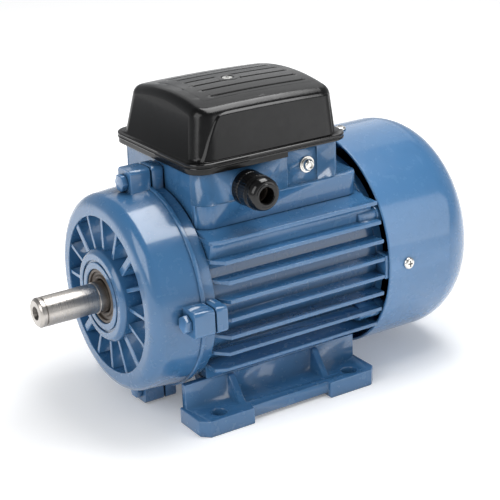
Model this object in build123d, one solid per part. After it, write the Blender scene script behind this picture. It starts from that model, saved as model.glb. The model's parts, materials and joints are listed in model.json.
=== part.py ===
from build123d import *
from math import cos, pi, radians, sin, sqrt
import os

# Single-phase motor, standard foot-mounted frame with a shaft height of 80 mm.
# Millimetres. +X is the shaft end, +Y the cable gland side, +Z up.
# The origin is the middle of the foot hole pattern on the floor.

# Mounting sizes of the standard frame
axis_height = 80.0
foot_pitch_across = 125.0
foot_pitch_along = 100.0
foot_hole_diameter = 10.0
foot_hole_to_shoulder = 50.0
shaft_diameter = 19.0
shaft_extension = 40.0

# Clearances
fit_slip = 0.1
screw_clearance = 0.3
thread_clearance = 0.05
running_gap = 0.3
air_gap = 0.35
casting_gap = 0.2

# Frame casting
frame_length = 132.0
frame_bore_radius = 58.0
frame_wall = 4.0
fin_count = 8
fin_pitch = 12.0
fin_thickness = 2.6
fin_height = 9.5
fin_envelope_radius = 109.0
fin_front_setback = 8.0
fin_front_slope = 7.0
fin_front_sink = 2.0
collar_step = 3.0
saddle_sink = 16.0
saddle_lead = 2.5
saddle_spread = 10.0
saddle_drop = 5.0
saddle_front_setback = 8.5
saddle_rear_setback = 3.0

# End shield bolts
ear_half = 8.5
ear_corner = 3.0
ear_sink = 0.5
ear_length = 14.0
ear_ring_step = 1.0
frame_ear_length = 8.0
shield_bolt_radius = 3.0
shield_bolt_flats = 10.0
shield_bolt_head = 4.0
shield_bolt_bite = 6.5
rear_bolt_lead = 3.0
rear_bolt_angle = 30.0
rear_boss_radius = 6.0
rear_boss_length = 14.0
rear_bolt_radius = 2.5
rear_bolt_flats = 8.0
rear_bolt_head = 3.5
rear_bolt_bite = 9.0

# Drive end shield
shield_setback = 8.0
shield_depth = 34.0
shield_overhang = 4.0
shield_rounding = 9.0
shield_wall = 5.0
shield_rim = 15.3
shield_recess = 12.0
shield_floor = 4.0
shield_ring_width = 3.0
shield_ring_step = 1.2
shield_draft = 2.6
spigot_length = 6.0
spigot_wall = 4.0
hub_setback = 4.0
hub_radius = 30.0
hub_rounding = 2.5
hub_groove_radius = 22.0
hub_groove_width = 1.4
hub_groove_depth = 1.2
rib_sectors = 4
thin_ribs_per_sector = 3
thin_rib = 2.6
wide_rib = 5.0
rib_setback = 1.0

# Bearings: bore, outer diameter, width, ball diameter, half the gap between the rings
front_bearing_bore = 20.0
front_bearing_outer = 47.0
front_bearing_width = 14.0
front_ball = 7.94
front_land = 2.3
rear_bearing_bore = 17.0
rear_bearing_outer = 40.0
rear_bearing_width = 12.0
rear_ball = 6.75
rear_land = 2.1
ball_count = 8
cage_half_wall = 1.1
cage_side = 1.2
pocket_gap = 0.15
seal_width = 7.0
seal_outer = 35.0
seal_setback = 1.0
seal_lip = 1.6
bearing_stop = 2.0
bearing_stop_overlap = 3.5
housing_lead = 3.0

# Rear end shield and fan cowl
rear_plate = 6.0
rear_hub_radius = 26.0
rear_hub_lead = 8.0
preload_thickness = 1.0
rear_bearing_lead = 7.0
rear_lip = 3.0
rear_lip_gap = 2.0
cowl_gap = 3.0
cowl_length = 77.0
cowl_overhang = 11.5
cowl_wall = 1.5
cowl_rounding = 29.0
cowl_lug_width = 16.0
cowl_lug_depth = 7.8
cowl_lug_length = 18.0
cowl_screw_setback = 14.0
cowl_screw_radius = 2.0
cowl_screw_head_radius = 4.0
cowl_screw_head = 2.2
cowl_screw_bite = 6.0
grille_rings = 4
grille_inner_radius = 9.0
grille_slot = 4.2
grille_pitch = 8.4
grille_spokes = 4
grille_spoke = 5.0

# Stator and rotor
stator_yoke = 9.05
slot_count = 24
slot_width = 4.6
slot_mouth = 2.4
slot_start = 2.0
slot_depth = 11.5
slot_gap = 0.2
main_depth = 5.2
winding_switch_gap = 3.9
winding_shield_gap = 2.0
winding_seat = 0.3
winding_ring_step = 0.4
main_ring_gap = 3.0
rotor_bar_count = 18
rotor_bar_radius = 2.4
rotor_bar_depth = 3.6
cage_ring_length = 9.0
cage_ring_depth = 9.0
cage_ring_margin = 0.6
shaft_body_radius = 11.5
fan_seat_radius = 7.5
shaft_chamfer = 1.5
keyway_width = 6.0
keyway_depth = 3.5
keyway_length = 32.0
keyway_start = 4.0
keyway_angle = 242.0
end_thread_radius = 2.5
end_thread_depth = 16.0
end_thread_mouth = 4.4

# Fan
fan_tip_gap = 14.0
fan_gap = 13.0
fan_depth = 28.0
fan_disc = 2.5
fan_hub_radius = 13.0
fan_blade = 2.5
fan_blades = 8
clip_thickness = 1.2
clip_height = 3.5
shaft_rear_stub = 3.0

# Centrifugal start switch
governor_gap = 1.5
governor_length = 5.4
governor_radius = 18.0
weight_length = 10.0
weight_width = 8.0
collar_travel = 3.0
collar_gap = 0.5
collar_length = 4.0
collar_radius = 22.0
switch_plate = 1.8
switch_gap = 0.3
switch_half_width = 18.0
switch_low = 16.0
switch_edge_gap = 4.0
switch_post_radius = 3.0
switch_post_spread = 13.0
switch_post_drop = 12.0

# Feet
foot_end = 17.0
foot_edge = 9.0
foot_plate = 11.0
foot_clip = 5.0
foot_recess_length = 58.0
foot_recess_depth = 4.0
foot_arch = 2.0
foot_seat_sink = 0.6
foot_web_rear_setback = 9.0
foot_web_front_lead = 7.0
foot_web = 4.5
foot_web_setback = 15.5
foot_flange = 6.0
foot_flange_width = 15.5
foot_flange_rear_setback = 25.0
foot_flange_front_gap = 1.0
foot_rib_spread = 32.0
foot_rib = 5.0
foot_rib_reach = 15.0
foot_rib_crest = 3.0
foot_rib_drop = 0.5
foot_screw_inset = 7.0
foot_screw_gap = 0.9
foot_screw_radius = 3.0
foot_screw_head_radius = 4.6
foot_screw_head = 6.0
foot_socket_flats = 5.0
foot_socket_depth = 3.0
foot_screw_bite = 5.0
foot_pad_rise = 20.0

# Terminal box base
box_ear_gap = 1.0
box_rear_setback = 16.5
box_half_width = 48.5
cover_ear_gap = 3.0
box_corner = 10.0
box_inner_corner = 7.2
box_wall = 5.5
box_floor = 4.0
box_plinth_rear = 13.5
box_plinth_height = 15.0
box_plinth_step = 1.0
earth_pad_setback = 18.5
earth_pad_length = 23.0
earth_pad_depth = 2.5
earth_step_depth = 1.5
box_screw_inset_x = 11.5
box_screw_inset_y = 9.0
box_screw_radius = 2.5
box_screw_head_radius = 4.2
box_screw_head = 3.5
box_screw_boss = 5.0
box_screw_boss_height = 14.0
box_screw_bite = 4.0
cover_post_radius = 3.8
cover_post_drop = 12.0

# Terminal box cover
gasket_thickness = 1.5
gasket_inset = 0.5
flange_margin = 4.0
flange_thickness = 3.5
flange_corner = 12.0
skirt_drop = 3.5
skirt_wall = 3.2
skirt_length = 67.0
cover_inset = 4.0
cover_rise = 35.0
cover_wall = 2.5
cover_front_lean = 6.5
cover_rear_lean = 1.0
cover_side_lean = 6.0
cover_corner = 11.0
cover_crown_radius = 175.0
cover_arch_radius = 1150.0
cover_crest_lead = 9.6
cover_rounding = 7.0
groove_count = 6
groove_pitch = 10.5
groove_width = 1.4
groove_depth = 1.2
groove_front_margin = 28.0
groove_rear_margin = 18.0
cover_screw_radius = 2.0
cover_screw_head_radius = 3.5
cover_screw_head = 2.6
cover_screw_recess = 3.0
cover_screw_bite = 11.0

# Terminal board and capacitors
board_front_setback = 6.0
board_length = 26.0
board_side_gap = 13.0
board_thickness = 5.0
board_rise = 26.0
board_post_radius = 4.0
board_post_y = 22.0
stud_rows = 2
stud_columns = 3
stud_pitch_x = 14.0
stud_pitch_y = 18.0
stud_radius = 2.5
stud_height = 13.0
stud_flats = 8.0
stud_nut = 4.0
capacitor_side_gap = 6.0
capacitor_middle_gap = 5.0
capacitor_rear_gap = 6.5
capacitor_rise = 44.0
capacitor_front_setback = 33.0
capacitor_cap = 3.0
capacitor_cap_radius = 8.0
capacitor_tag = 6.0
capacitor_tag_thickness = 1.0
clamp_plate = 3.0
clamp_ring = 2.5
clamp_post_gap = 3.4
clamp_rear_inset = 10.0
clamp_floor_gap = 0.2

# Cable gland
gland_x = 15.5
gland_skirt_gap = 2.2
gland_thread_radius = 9.9
gland_boss_radius = 11.3
gland_boss = 1.5
gland_collar_radius = 11.2
gland_collar = 6.0
gland_neck_radius = 8.6
gland_neck = 7.0
gland_bore_radius = 6.8
gland_nut_wall = 2.1
gland_nut_length = 16.5
gland_nut_grip = 5.5
gland_mouth_radius = 5.2
gland_mouth_outer = 7.4
gland_mouth_wall = 4.5
gland_nut_gap = 0.3
gland_seal_wall = 1.2
gland_seal_length = 6.0
locknut_wall = 2.1
locknut_length = 4.5

# Earth screw
earth_rise = 26.5
earth_screw_setback = 26.0
earth_screw_radius = 2.5
earth_screw_flats = 8.0
earth_screw_head = 3.6
earth_screw_bite = 2.6
earth_washer_radius = 5.2
earth_washer = 1.0

# Places along the shaft, worked out from the sizes above
shoulder_x = foot_pitch_along / 2 + foot_hole_to_shoulder
shaft_tip_x = shoulder_x + shaft_extension
face_x = shoulder_x - shield_setback
hub_face_x = shoulder_x - hub_setback
seam_x = face_x - shield_depth
floor_x = face_x - shield_recess
seal_front_x = hub_face_x - seal_setback
seal_rear_x = seal_front_x - seal_width
front_bearing_x = seal_rear_x - bearing_stop - front_bearing_width
rear_x = seam_x - frame_length
rear_plate_x = rear_x - rear_plate
rear_hub_front_x = rear_x + rear_hub_lead
rear_bearing_x = rear_x + rear_bearing_lead - rear_bearing_width
preload_x = rear_bearing_x - preload_thickness
rear_hub_x = preload_x - rear_lip
cowl_front_x = rear_x - cowl_gap
cowl_rear_x = cowl_front_x - cowl_length
fan_front_x = rear_hub_x - fan_gap
fan_rear_x = fan_front_x - fan_depth
clip_x = fan_rear_x - fit_slip - clip_thickness
shaft_rear_x = clip_x - shaft_rear_stub
fin_front_x = seam_x - fin_front_setback
switch_rear_x = rear_hub_front_x + switch_gap
switch_front_x = switch_rear_x + switch_plate
collar_rear_x = switch_front_x + collar_gap
collar_front_x = collar_rear_x + collar_length
governor_rear_x = collar_front_x + collar_travel + collar_gap
governor_front_x = governor_rear_x + governor_length
stack_rear_x = governor_front_x + governor_gap + cage_ring_length
winding_overhang = stack_rear_x - switch_front_x - winding_switch_gap
stack_front_x = seam_x - spigot_length - winding_shield_gap - winding_overhang

# Other shared places
frame_radius = frame_bore_radius + frame_wall
fin_reach = frame_radius + fin_height
shield_radius = frame_radius + shield_overhang
shield_opening_radius = shield_radius - shield_rim
ear_circle = shield_radius + shield_bolt_flats / 2 - ear_sink
ear_top = axis_height + ear_circle + ear_half
rear_bolt_circle = frame_radius + rear_bolt_lead
box_seat = axis_height + frame_radius - saddle_sink
box_front_x = seam_x - frame_ear_length - box_ear_gap
box_rear_x = rear_x + box_rear_setback
box_length = box_front_x - box_rear_x
skirt_low = ear_top + cover_ear_gap
flange_low = skirt_low + skirt_drop
box_top = flange_low - gasket_thickness
saddle_half_width = box_half_width + saddle_lead
saddle_foot_half_width = saddle_half_width + saddle_spread
box_inner_half = box_half_width - box_wall
box_inner_front = box_front_x - box_wall
box_inner_rear = box_rear_x + box_wall
floor_radius = frame_radius + casting_gap + box_floor
flange_high = flange_low + flange_thickness
cover_top = flange_high + cover_rise
cover_middle_x = (box_front_x + box_rear_x) / 2
foot_half_pitch = foot_pitch_across / 2
foot_outer_y = foot_half_pitch + foot_edge
foot_web_outer = foot_half_pitch - foot_web_setback
foot_web_inner = foot_web_outer - foot_web
foot_flange_inner = foot_web_outer - foot_flange_width
foot_seat_drop = sqrt(frame_radius ** 2 - foot_flange_inner ** 2) - foot_seat_sink
foot_seat_height = axis_height - foot_seat_drop
foot_flange_rear_x = rear_x + foot_flange_rear_setback
foot_flange_front_x = fin_front_x - foot_flange_front_gap
foot_web_rear_x = rear_x + foot_web_rear_setback
foot_web_front_x = seam_x + foot_web_front_lead
foot_length = foot_pitch_along + 2 * foot_end
gland_z = skirt_low - gland_skirt_gap - gland_boss_radius
gland_seat_y = box_half_width + gland_boss
earth_x = box_rear_x + earth_screw_setback
earth_z = box_seat + earth_rise
earth_pad_y = box_half_width - earth_pad_depth
bore_radius = frame_bore_radius - fit_slip - stator_yoke - slot_depth - slot_start
rotor_radius = bore_radius - air_gap
cowl_radius = frame_radius + cowl_overhang
cowl_inner = cowl_radius - cowl_wall
cowl_lug_top = cowl_inner - casting_gap
cowl_lug_base = cowl_lug_top - cowl_lug_depth
cowl_screw_x = cowl_front_x - cowl_screw_setback
cover_post_z = cover_top - cover_post_drop
fan_radius = cowl_inner - fan_tip_gap
switch_high = frame_bore_radius - spigot_wall - switch_edge_gap
capacitor_radius = (box_inner_half - capacitor_side_gap - capacitor_middle_gap) / 2
capacitor_y = capacitor_middle_gap + capacitor_radius
capacitor_front_x = box_inner_front - capacitor_front_setback
capacitor_rear_x = box_inner_rear + capacitor_rear_gap
gland_nut_radius = gland_neck_radius + fit_slip + gland_nut_wall
locknut_flats = 2 * (gland_thread_radius + locknut_wall)
front_pitch = (front_bearing_bore + front_bearing_outer) / 4
rear_pitch = (rear_bearing_bore + rear_bearing_outer) / 4
shaft_line = Axis((0, 0, axis_height), (1, 0, 0))
quarter_angles = [0, 90, 180, 270]
rear_bolt_angles = [rear_bolt_angle, 180 - rear_bolt_angle, 180 + rear_bolt_angle, -rear_bolt_angle]
cut_over = 1.0


# Simple solids in motor coordinates
def bar(start, end, radius, y=0.0, z=axis_height):
    rod = Cylinder(radius, end - start, align=(Align.CENTER, Align.CENTER, Align.MIN))
    return Pos(start, y, z) * Rot(0, 90, 0) * rod


def tube(start, end, outer, inner):
    return bar(start, end, outer) - bar(start - cut_over, end + cut_over, inner)


def upright(x, y, low, high, radius):
    rod = Cylinder(radius, high - low, align=(Align.CENTER, Align.CENTER, Align.MIN))
    return Pos(x, y, low) * rod


def sideways(x, z, near, far, radius):
    rod = Cylinder(radius, far - near, align=(Align.CENTER, Align.CENTER, Align.MIN))
    return Pos(x, near, z) * Rot(-90, 0, 0) * rod


def slab(x0, x1, y0, y1, z0, z1):
    middle = Pos((x0 + x1) / 2, (y0 + y1) / 2, (z0 + z1) / 2)
    return middle * Box(abs(x1 - x0), abs(y1 - y0), abs(z1 - z0))


def rounded_block(x0, x1, half_width, low, high, corner):
    outline = RectangleRounded(x1 - x0, 2 * half_width, corner)
    return Pos((x0 + x1) / 2, 0, low) * extrude(outline, high - low)


def hexagon(flats, length):
    return extrude(RegularPolygon(flats / 2, 6, major_radius=False), length)


def hexagon_bar(start, end, flats, y, z):
    return Pos(start, y, z) * Rot(0, 90, 0) * hexagon(flats, end - start)


def shaft_outline(points):
    return make_face(Polyline(*[(x, 0, axis_height + radius) for x, radius in points], close=True))


def turned(points):
    return revolve(shaft_outline(points), shaft_line)


def spun(part, angle):
    return Pos(0, 0, axis_height) * Rot(angle, 0, 0) * Pos(0, 0, -axis_height) * part


def around(part, count):
    return [spun(part, 360 / count * index) for index in range(count)]


def polar(angle, radius):
    return radius * cos(radians(angle)), axis_height + radius * sin(radians(angle))


def mirrored_y(part):
    return mirror(part, Plane.XZ)


# Frame casting with fins, ears, box saddle and foot pads
def fin_tip(rise):
    return fin_reach - fin_envelope_radius + sqrt(fin_envelope_radius ** 2 - rise ** 2)


def frame_fins():
    fins = []
    for index in range(fin_count):
        rise = (index - (fin_count - 1) / 2) * fin_pitch
        tip = fin_tip(rise)
        front_reach = frame_radius - fin_front_sink
        outline = Polyline(
            (rear_x, -tip),
            (fin_front_x - fin_front_slope, -tip),
            (fin_front_x, -front_reach),
            (fin_front_x, front_reach),
            (fin_front_x - fin_front_slope, tip),
            (rear_x, tip),
            close=True,
        )
        plate = extrude(make_face(outline), fin_thickness / 2, both=True)
        fins.append(Pos(0, 0, axis_height + rise) * plate)
    return fins


def ear_block(start, length, root):
    outline = RectangleRounded(2 * ear_half, 2 * ear_half, ear_corner)
    block = Pos(start, ear_circle, axis_height) * extrude(Plane.YZ * outline, length)
    web = slab(start, start + length, root, ear_circle, axis_height - ear_half, axis_height + ear_half)
    return block + web


def box_saddle():
    outline = Polyline(
        (-saddle_half_width, box_seat),
        (saddle_half_width, box_seat),
        (saddle_foot_half_width, box_seat - saddle_drop),
        (saddle_half_width, axis_height),
        (-saddle_half_width, axis_height),
        (-saddle_foot_half_width, box_seat - saddle_drop),
        close=True,
    )
    start = rear_x + saddle_rear_setback
    length = seam_x - saddle_front_setback - start
    return Pos(start, 0, 0) * (Plane.YZ * extrude(make_face(outline), length))


def foot_pads():
    ends = (foot_flange_rear_x, foot_flange_front_x)
    top = foot_seat_height + foot_pad_rise
    pad = slab(*ends, foot_flange_inner, foot_web_outer, foot_seat_height, top)
    return [pad, mirrored_y(pad)]


def foot_rooms():
    ends = (foot_web_rear_x - cut_over, fin_front_x)
    room = slab(*ends, foot_flange_inner - casting_gap, fin_reach + cut_over, 0, foot_seat_height)
    return [room, mirrored_y(room)]


def stator_frame():
    frame = bar(rear_x, seam_x, frame_radius)
    frame += bar(fin_front_x, seam_x, frame_radius + collar_step)
    frame += frame_fins()
    frame += box_saddle()
    frame -= foot_rooms()
    frame += foot_pads()
    for angle in quarter_angles:
        frame += spun(ear_block(seam_x - frame_ear_length, frame_ear_length, frame_bore_radius), angle)
    for angle in rear_bolt_angles:
        y, z = polar(angle, rear_bolt_circle)
        frame += bar(rear_x, rear_x + rear_boss_length, rear_boss_radius, y, z)
    frame -= bar(rear_x - cut_over, seam_x + cut_over, frame_bore_radius)
    for angle in quarter_angles:
        y, z = polar(angle, ear_circle)
        hole = shield_bolt_radius + thread_clearance
        frame -= bar(seam_x - frame_ear_length - cut_over, seam_x + cut_over, hole, y, z)
    for angle in rear_bolt_angles:
        y, z = polar(angle, rear_bolt_circle)
        depth = rear_bolt_bite + cut_over
        frame -= bar(rear_x - cut_over, rear_x + depth, rear_bolt_radius + thread_clearance, y, z)
    for x, y in foot_screw_places():
        top = foot_seat_height + foot_screw_bite + cut_over / 2
        frame -= upright(x, y, foot_seat_height - cut_over, top, foot_screw_radius + thread_clearance)
    for x, y in box_screw_places():
        top = box_seat + box_screw_boss_height
        frame -= upright(x, y, axis_height, top, box_screw_radius + thread_clearance)
    return frame


# Bolted feet
def foot_screw_places():
    y = foot_web_inner - foot_screw_gap - foot_screw_head_radius
    ends = (foot_flange_rear_x + foot_screw_inset, foot_flange_front_x - foot_screw_inset)
    return [(x, side * y) for x in ends for side in (-1, 1)]


def foot():
    half = foot_length / 2
    outline = Polyline(
        (-half, foot_web_inner),
        (half, foot_web_inner),
        (half, foot_outer_y - foot_clip),
        (half - foot_clip, foot_outer_y),
        (-half + foot_clip, foot_outer_y),
        (-half, foot_outer_y - foot_clip),
        close=True,
    )
    body = extrude(make_face(outline), foot_plate)
    recess = foot_recess_length / 2
    edge_y = foot_outer_y - foot_recess_depth
    body -= slab(-recess, recess, edge_y, foot_outer_y + cut_over, -cut_over, foot_plate + cut_over)
    body -= slab(-recess, recess, foot_web_inner - cut_over, foot_outer_y, -cut_over, foot_arch)
    web_ends = (foot_web_rear_x, foot_web_front_x)
    body += slab(*web_ends, foot_web_inner, foot_web_outer, foot_arch, foot_seat_height)
    flange_low_z = foot_seat_height - foot_flange
    flange_ends = (foot_flange_rear_x, foot_flange_front_x)
    body += slab(*flange_ends, foot_flange_inner, foot_web_outer, flange_low_z, foot_seat_height)
    for x in (-foot_rib_spread, foot_rib_spread):
        rib = Polyline(
            (foot_web_outer - cut_over, foot_plate - cut_over),
            (foot_web_outer + foot_rib_reach, foot_plate - cut_over),
            (foot_web_outer + foot_rib_reach, foot_plate),
            (foot_web_outer + foot_rib_crest, foot_seat_height - foot_rib_drop),
            (foot_web_outer - cut_over, foot_seat_height - foot_rib_drop),
            close=True,
        )
        body += Pos(x, 0, 0) * extrude(Plane.YZ * make_face(rib), foot_rib / 2, both=True)
    for x in (-foot_pitch_along / 2, foot_pitch_along / 2):
        body -= upright(x, foot_half_pitch, -cut_over, foot_plate + cut_over, foot_hole_diameter / 2)
    for x, y in foot_screw_places():
        if y > 0:
            hole = foot_screw_radius + screw_clearance
            body -= upright(x, y, flange_low_z - cut_over, foot_seat_height + cut_over, hole)
    return body


def foot_screws():
    screws = []
    head_top = foot_seat_height - foot_flange
    for x, y in foot_screw_places():
        shank = upright(x, y, head_top - cut_over, foot_seat_height + foot_screw_bite, foot_screw_radius)
        head = upright(x, y, head_top - foot_screw_head, head_top, foot_screw_head_radius)
        socket = hexagon(foot_socket_flats, foot_socket_depth + cut_over)
        screws.append(shank + head - Pos(x, y, head_top - foot_screw_head - cut_over) * socket)
    return screws


# Drive end shield
def shield_ribs():
    ribs = []
    steps = thin_ribs_per_sector + 1
    count = rib_sectors * steps
    for index in range(count):
        width = wide_rib if index % steps == 0 else thin_rib
        top = face_x - rib_setback
        end = shield_opening_radius + cut_over
        rib = slab(floor_x - cut_over, top, hub_radius - cut_over, end, -width / 2, width / 2)
        angle = 180 / rib_sectors + 360 / count * index
        ribs.append(spun(Pos(0, 0, axis_height) * rib, angle))
    return ribs


def drive_end_shield():
    inner_wall = shield_radius - shield_wall - shield_draft
    profile = [
        (seam_x, shield_radius),
        (face_x, shield_radius - shield_draft),
        (face_x, shield_opening_radius),
        (floor_x, shield_opening_radius),
        (floor_x, hub_radius),
        (hub_face_x - hub_rounding, hub_radius),
        (hub_face_x, hub_radius - hub_rounding),
        (hub_face_x, seal_outer / 2 + fit_slip),
        (seal_rear_x, seal_outer / 2 + fit_slip),
        (seal_rear_x, front_bearing_outer / 2 - bearing_stop_overlap),
        (seal_rear_x - bearing_stop, front_bearing_outer / 2 - bearing_stop_overlap),
        (seal_rear_x - bearing_stop, front_bearing_outer / 2 + fit_slip),
        (front_bearing_x - housing_lead, front_bearing_outer / 2 + fit_slip),
        (front_bearing_x - housing_lead, hub_radius),
        (floor_x - shield_floor, hub_radius),
        (floor_x - shield_floor, inner_wall - shield_wall),
        (floor_x - shield_floor - shield_wall, inner_wall),
        (seam_x, frame_bore_radius - fit_slip - spigot_wall),
        (seam_x - spigot_length, frame_bore_radius - fit_slip - spigot_wall),
        (seam_x - spigot_length, frame_bore_radius - fit_slip),
        (seam_x, frame_bore_radius - fit_slip),
    ]
    outline = shaft_outline(profile)
    rim = outline.vertices().filter_by_position(Axis.X, face_x, face_x).sort_by(Axis.Z)[-1]
    shield = revolve(fillet(rim, shield_rounding), shaft_line)
    shield += tube(seam_x, seam_x + shield_ring_width, shield_radius + shield_ring_step, inner_wall)
    shield += shield_ribs()
    groove = tube(hub_face_x - hub_groove_depth, hub_face_x + cut_over,
                  hub_groove_radius + hub_groove_width, hub_groove_radius)
    shield -= groove
    for angle in quarter_angles:
        ear = ear_block(seam_x + ear_ring_step, ear_length, inner_wall + shield_draft)
        shield += spun(ear, angle)
    for angle in quarter_angles:
        y, z = polar(angle, ear_circle)
        hole = shield_bolt_radius + screw_clearance
        shield -= bar(seam_x - cut_over, seam_x + ear_ring_step + ear_length + cut_over, hole, y, z)
    return shield


def front_shield_bolts():
    bolts = []
    seat = seam_x + ear_ring_step + ear_length
    y, z = polar(0, ear_circle)
    bolt = bar(seam_x - shield_bolt_bite, seat + cut_over, shield_bolt_radius, y, z)
    bolt += hexagon_bar(seat, seat + shield_bolt_head, shield_bolt_flats, y, z)
    for angle in quarter_angles:
        bolts.append(spun(bolt, angle))
    return bolts


# Rear end shield with the lugs that carry the cowl
def rear_end_shield():
    shield = bar(rear_plate_x, rear_x, frame_radius)
    shield += tube(rear_x - cut_over, rear_x + spigot_length, frame_bore_radius - fit_slip,
                   frame_bore_radius - fit_slip - spigot_wall)
    shield += bar(rear_hub_x, rear_hub_front_x, rear_hub_radius)
    for angle in rear_bolt_angles:
        y, z = polar(angle, rear_bolt_circle)
        shield += bar(rear_plate_x, rear_x, rear_boss_radius, y, z)
    half = cowl_lug_width / 2
    for angle in quarter_angles:
        arm = slab(rear_plate_x, rear_x, frame_radius - frame_wall, cowl_lug_top, -half, half)
        arm += slab(rear_plate_x - cowl_lug_length, rear_x, cowl_lug_base, cowl_lug_top, -half, half)
        shield += spun(Pos(0, 0, axis_height) * arm, angle)
    shield &= bar(rear_plate_x - cowl_lug_length - cut_over, seam_x, cowl_lug_top)
    shield -= bar(preload_x, rear_hub_front_x + cut_over, rear_bearing_outer / 2 + fit_slip)
    shield -= bar(rear_hub_x - cut_over, preload_x + cut_over, rear_bearing_bore / 2 + rear_lip_gap)
    for angle in rear_bolt_angles:
        y, z = polar(angle, rear_bolt_circle)
        hole = rear_bolt_radius + screw_clearance
        shield -= bar(rear_plate_x - cut_over, rear_x + cut_over, hole, y, z)
    for angle in quarter_angles:
        shield -= spun(cowl_screw_hole(cowl_screw_radius + thread_clearance), angle)
    return shield


def cowl_screw_hole(radius):
    return sideways(cowl_screw_x, axis_height, cowl_lug_base - cut_over, cowl_radius + cut_over, radius)


def rear_shield_bolts():
    bolts = []
    for angle in rear_bolt_angles:
        y, z = polar(angle, rear_bolt_circle)
        shank = bar(rear_plate_x - cut_over, rear_x + rear_bolt_bite, rear_bolt_radius, y, z)
        head = hexagon_bar(rear_plate_x - rear_bolt_head, rear_plate_x, rear_bolt_flats, y, z)
        bolts.append(shank + head)
    return bolts


# Fan cowl with its rear air grille
def cowl_solid(radius, front, rear, rounding):
    middle_x = rear + rounding * (1 - sin(pi / 4))
    middle_radius = radius - rounding * (1 - cos(pi / 4))
    start = (rear + rounding, 0, axis_height + radius)
    middle = (middle_x, 0, axis_height + middle_radius)
    end = (rear, 0, axis_height + radius - rounding)
    edges = [
        Line((rear, 0, axis_height), (front, 0, axis_height)),
        Line((front, 0, axis_height), (front, 0, axis_height + radius)),
        Line((front, 0, axis_height + radius), start),
        ThreePointArc(start, middle, end),
        Line(end, (rear, 0, axis_height)),
    ]
    return revolve(make_face(edges), shaft_line)


def fan_cowl():
    cowl = cowl_solid(cowl_radius, cowl_front_x, cowl_rear_x, cowl_rounding)
    inner_rounding = cowl_rounding - cowl_wall
    cowl -= cowl_solid(cowl_inner, cowl_front_x + cut_over, cowl_rear_x + cowl_wall, inner_rounding)
    reach = grille_inner_radius + grille_rings * grille_pitch
    outside = cowl_rear_x - cut_over
    inside = cowl_rear_x + cowl_wall + cut_over
    half = grille_spoke / 2
    spokes = []
    for index in range(grille_spokes):
        spoke = slab(outside, inside, 0, reach, -half, half)
        spokes.append(spun(Pos(0, 0, axis_height) * spoke, 360 / grille_spokes * (index + 0.5)))
    for index in range(grille_rings):
        inner = grille_inner_radius + index * grille_pitch
        slot = tube(outside, inside, inner + grille_slot, inner)
        cowl -= slot - spokes
    for angle in quarter_angles:
        cowl -= spun(cowl_screw_hole(cowl_screw_radius + screw_clearance), angle)
    return cowl


def cowl_screws():
    screws = []
    seat = cowl_radius + casting_gap
    tip = cowl_lug_top - cowl_screw_bite
    screw = sideways(cowl_screw_x, axis_height, tip, seat + cut_over, cowl_screw_radius)
    screw += sideways(cowl_screw_x, axis_height, seat, seat + cowl_screw_head, cowl_screw_head_radius)
    for angle in quarter_angles:
        screws.append(spun(screw, angle))
    return screws


# Stator pack and the two windings
def slot_places(part):
    return around(part, slot_count)


def stator_core():
    core = tube(stack_rear_x, stack_front_x, frame_bore_radius - fit_slip, bore_radius)
    start = bore_radius + slot_start
    rear = stack_rear_x - cut_over
    front = stack_front_x + cut_over
    half = slot_width / 2
    slot = slab(rear, front, start, start + slot_depth, -half, half)
    half_mouth = slot_mouth / 2
    slot += slab(rear, front, 0, start + cut_over, -half_mouth, half_mouth)
    core -= slot_places(Pos(0, 0, axis_height) * slot)
    return core


def winding(inner, outer, ring_inner, ring_outer):
    half = slot_width / 2 - slot_gap
    seat = winding_seat
    wires = slab(stack_rear_x - seat - cut_over, stack_front_x + seat + cut_over, inner, outer, -half, half)
    coil = tube(stack_front_x + seat, stack_front_x + winding_overhang, ring_outer, ring_inner)
    coil += tube(stack_rear_x - winding_overhang, stack_rear_x - seat, ring_outer, ring_inner)
    coil += slot_places(Pos(0, 0, axis_height) * wires)
    return coil


def main_winding():
    outer = bore_radius + slot_start + slot_depth - slot_gap
    ring_outer = frame_bore_radius - main_ring_gap
    inner = outer - main_depth
    return winding(inner, outer, inner + winding_ring_step, ring_outer)


def start_winding():
    inner = bore_radius + slot_start + slot_gap
    outer = bore_radius + slot_start + slot_depth - main_depth - 2 * slot_gap
    return winding(inner, outer, inner + winding_ring_step, outer - winding_ring_step)


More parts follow.
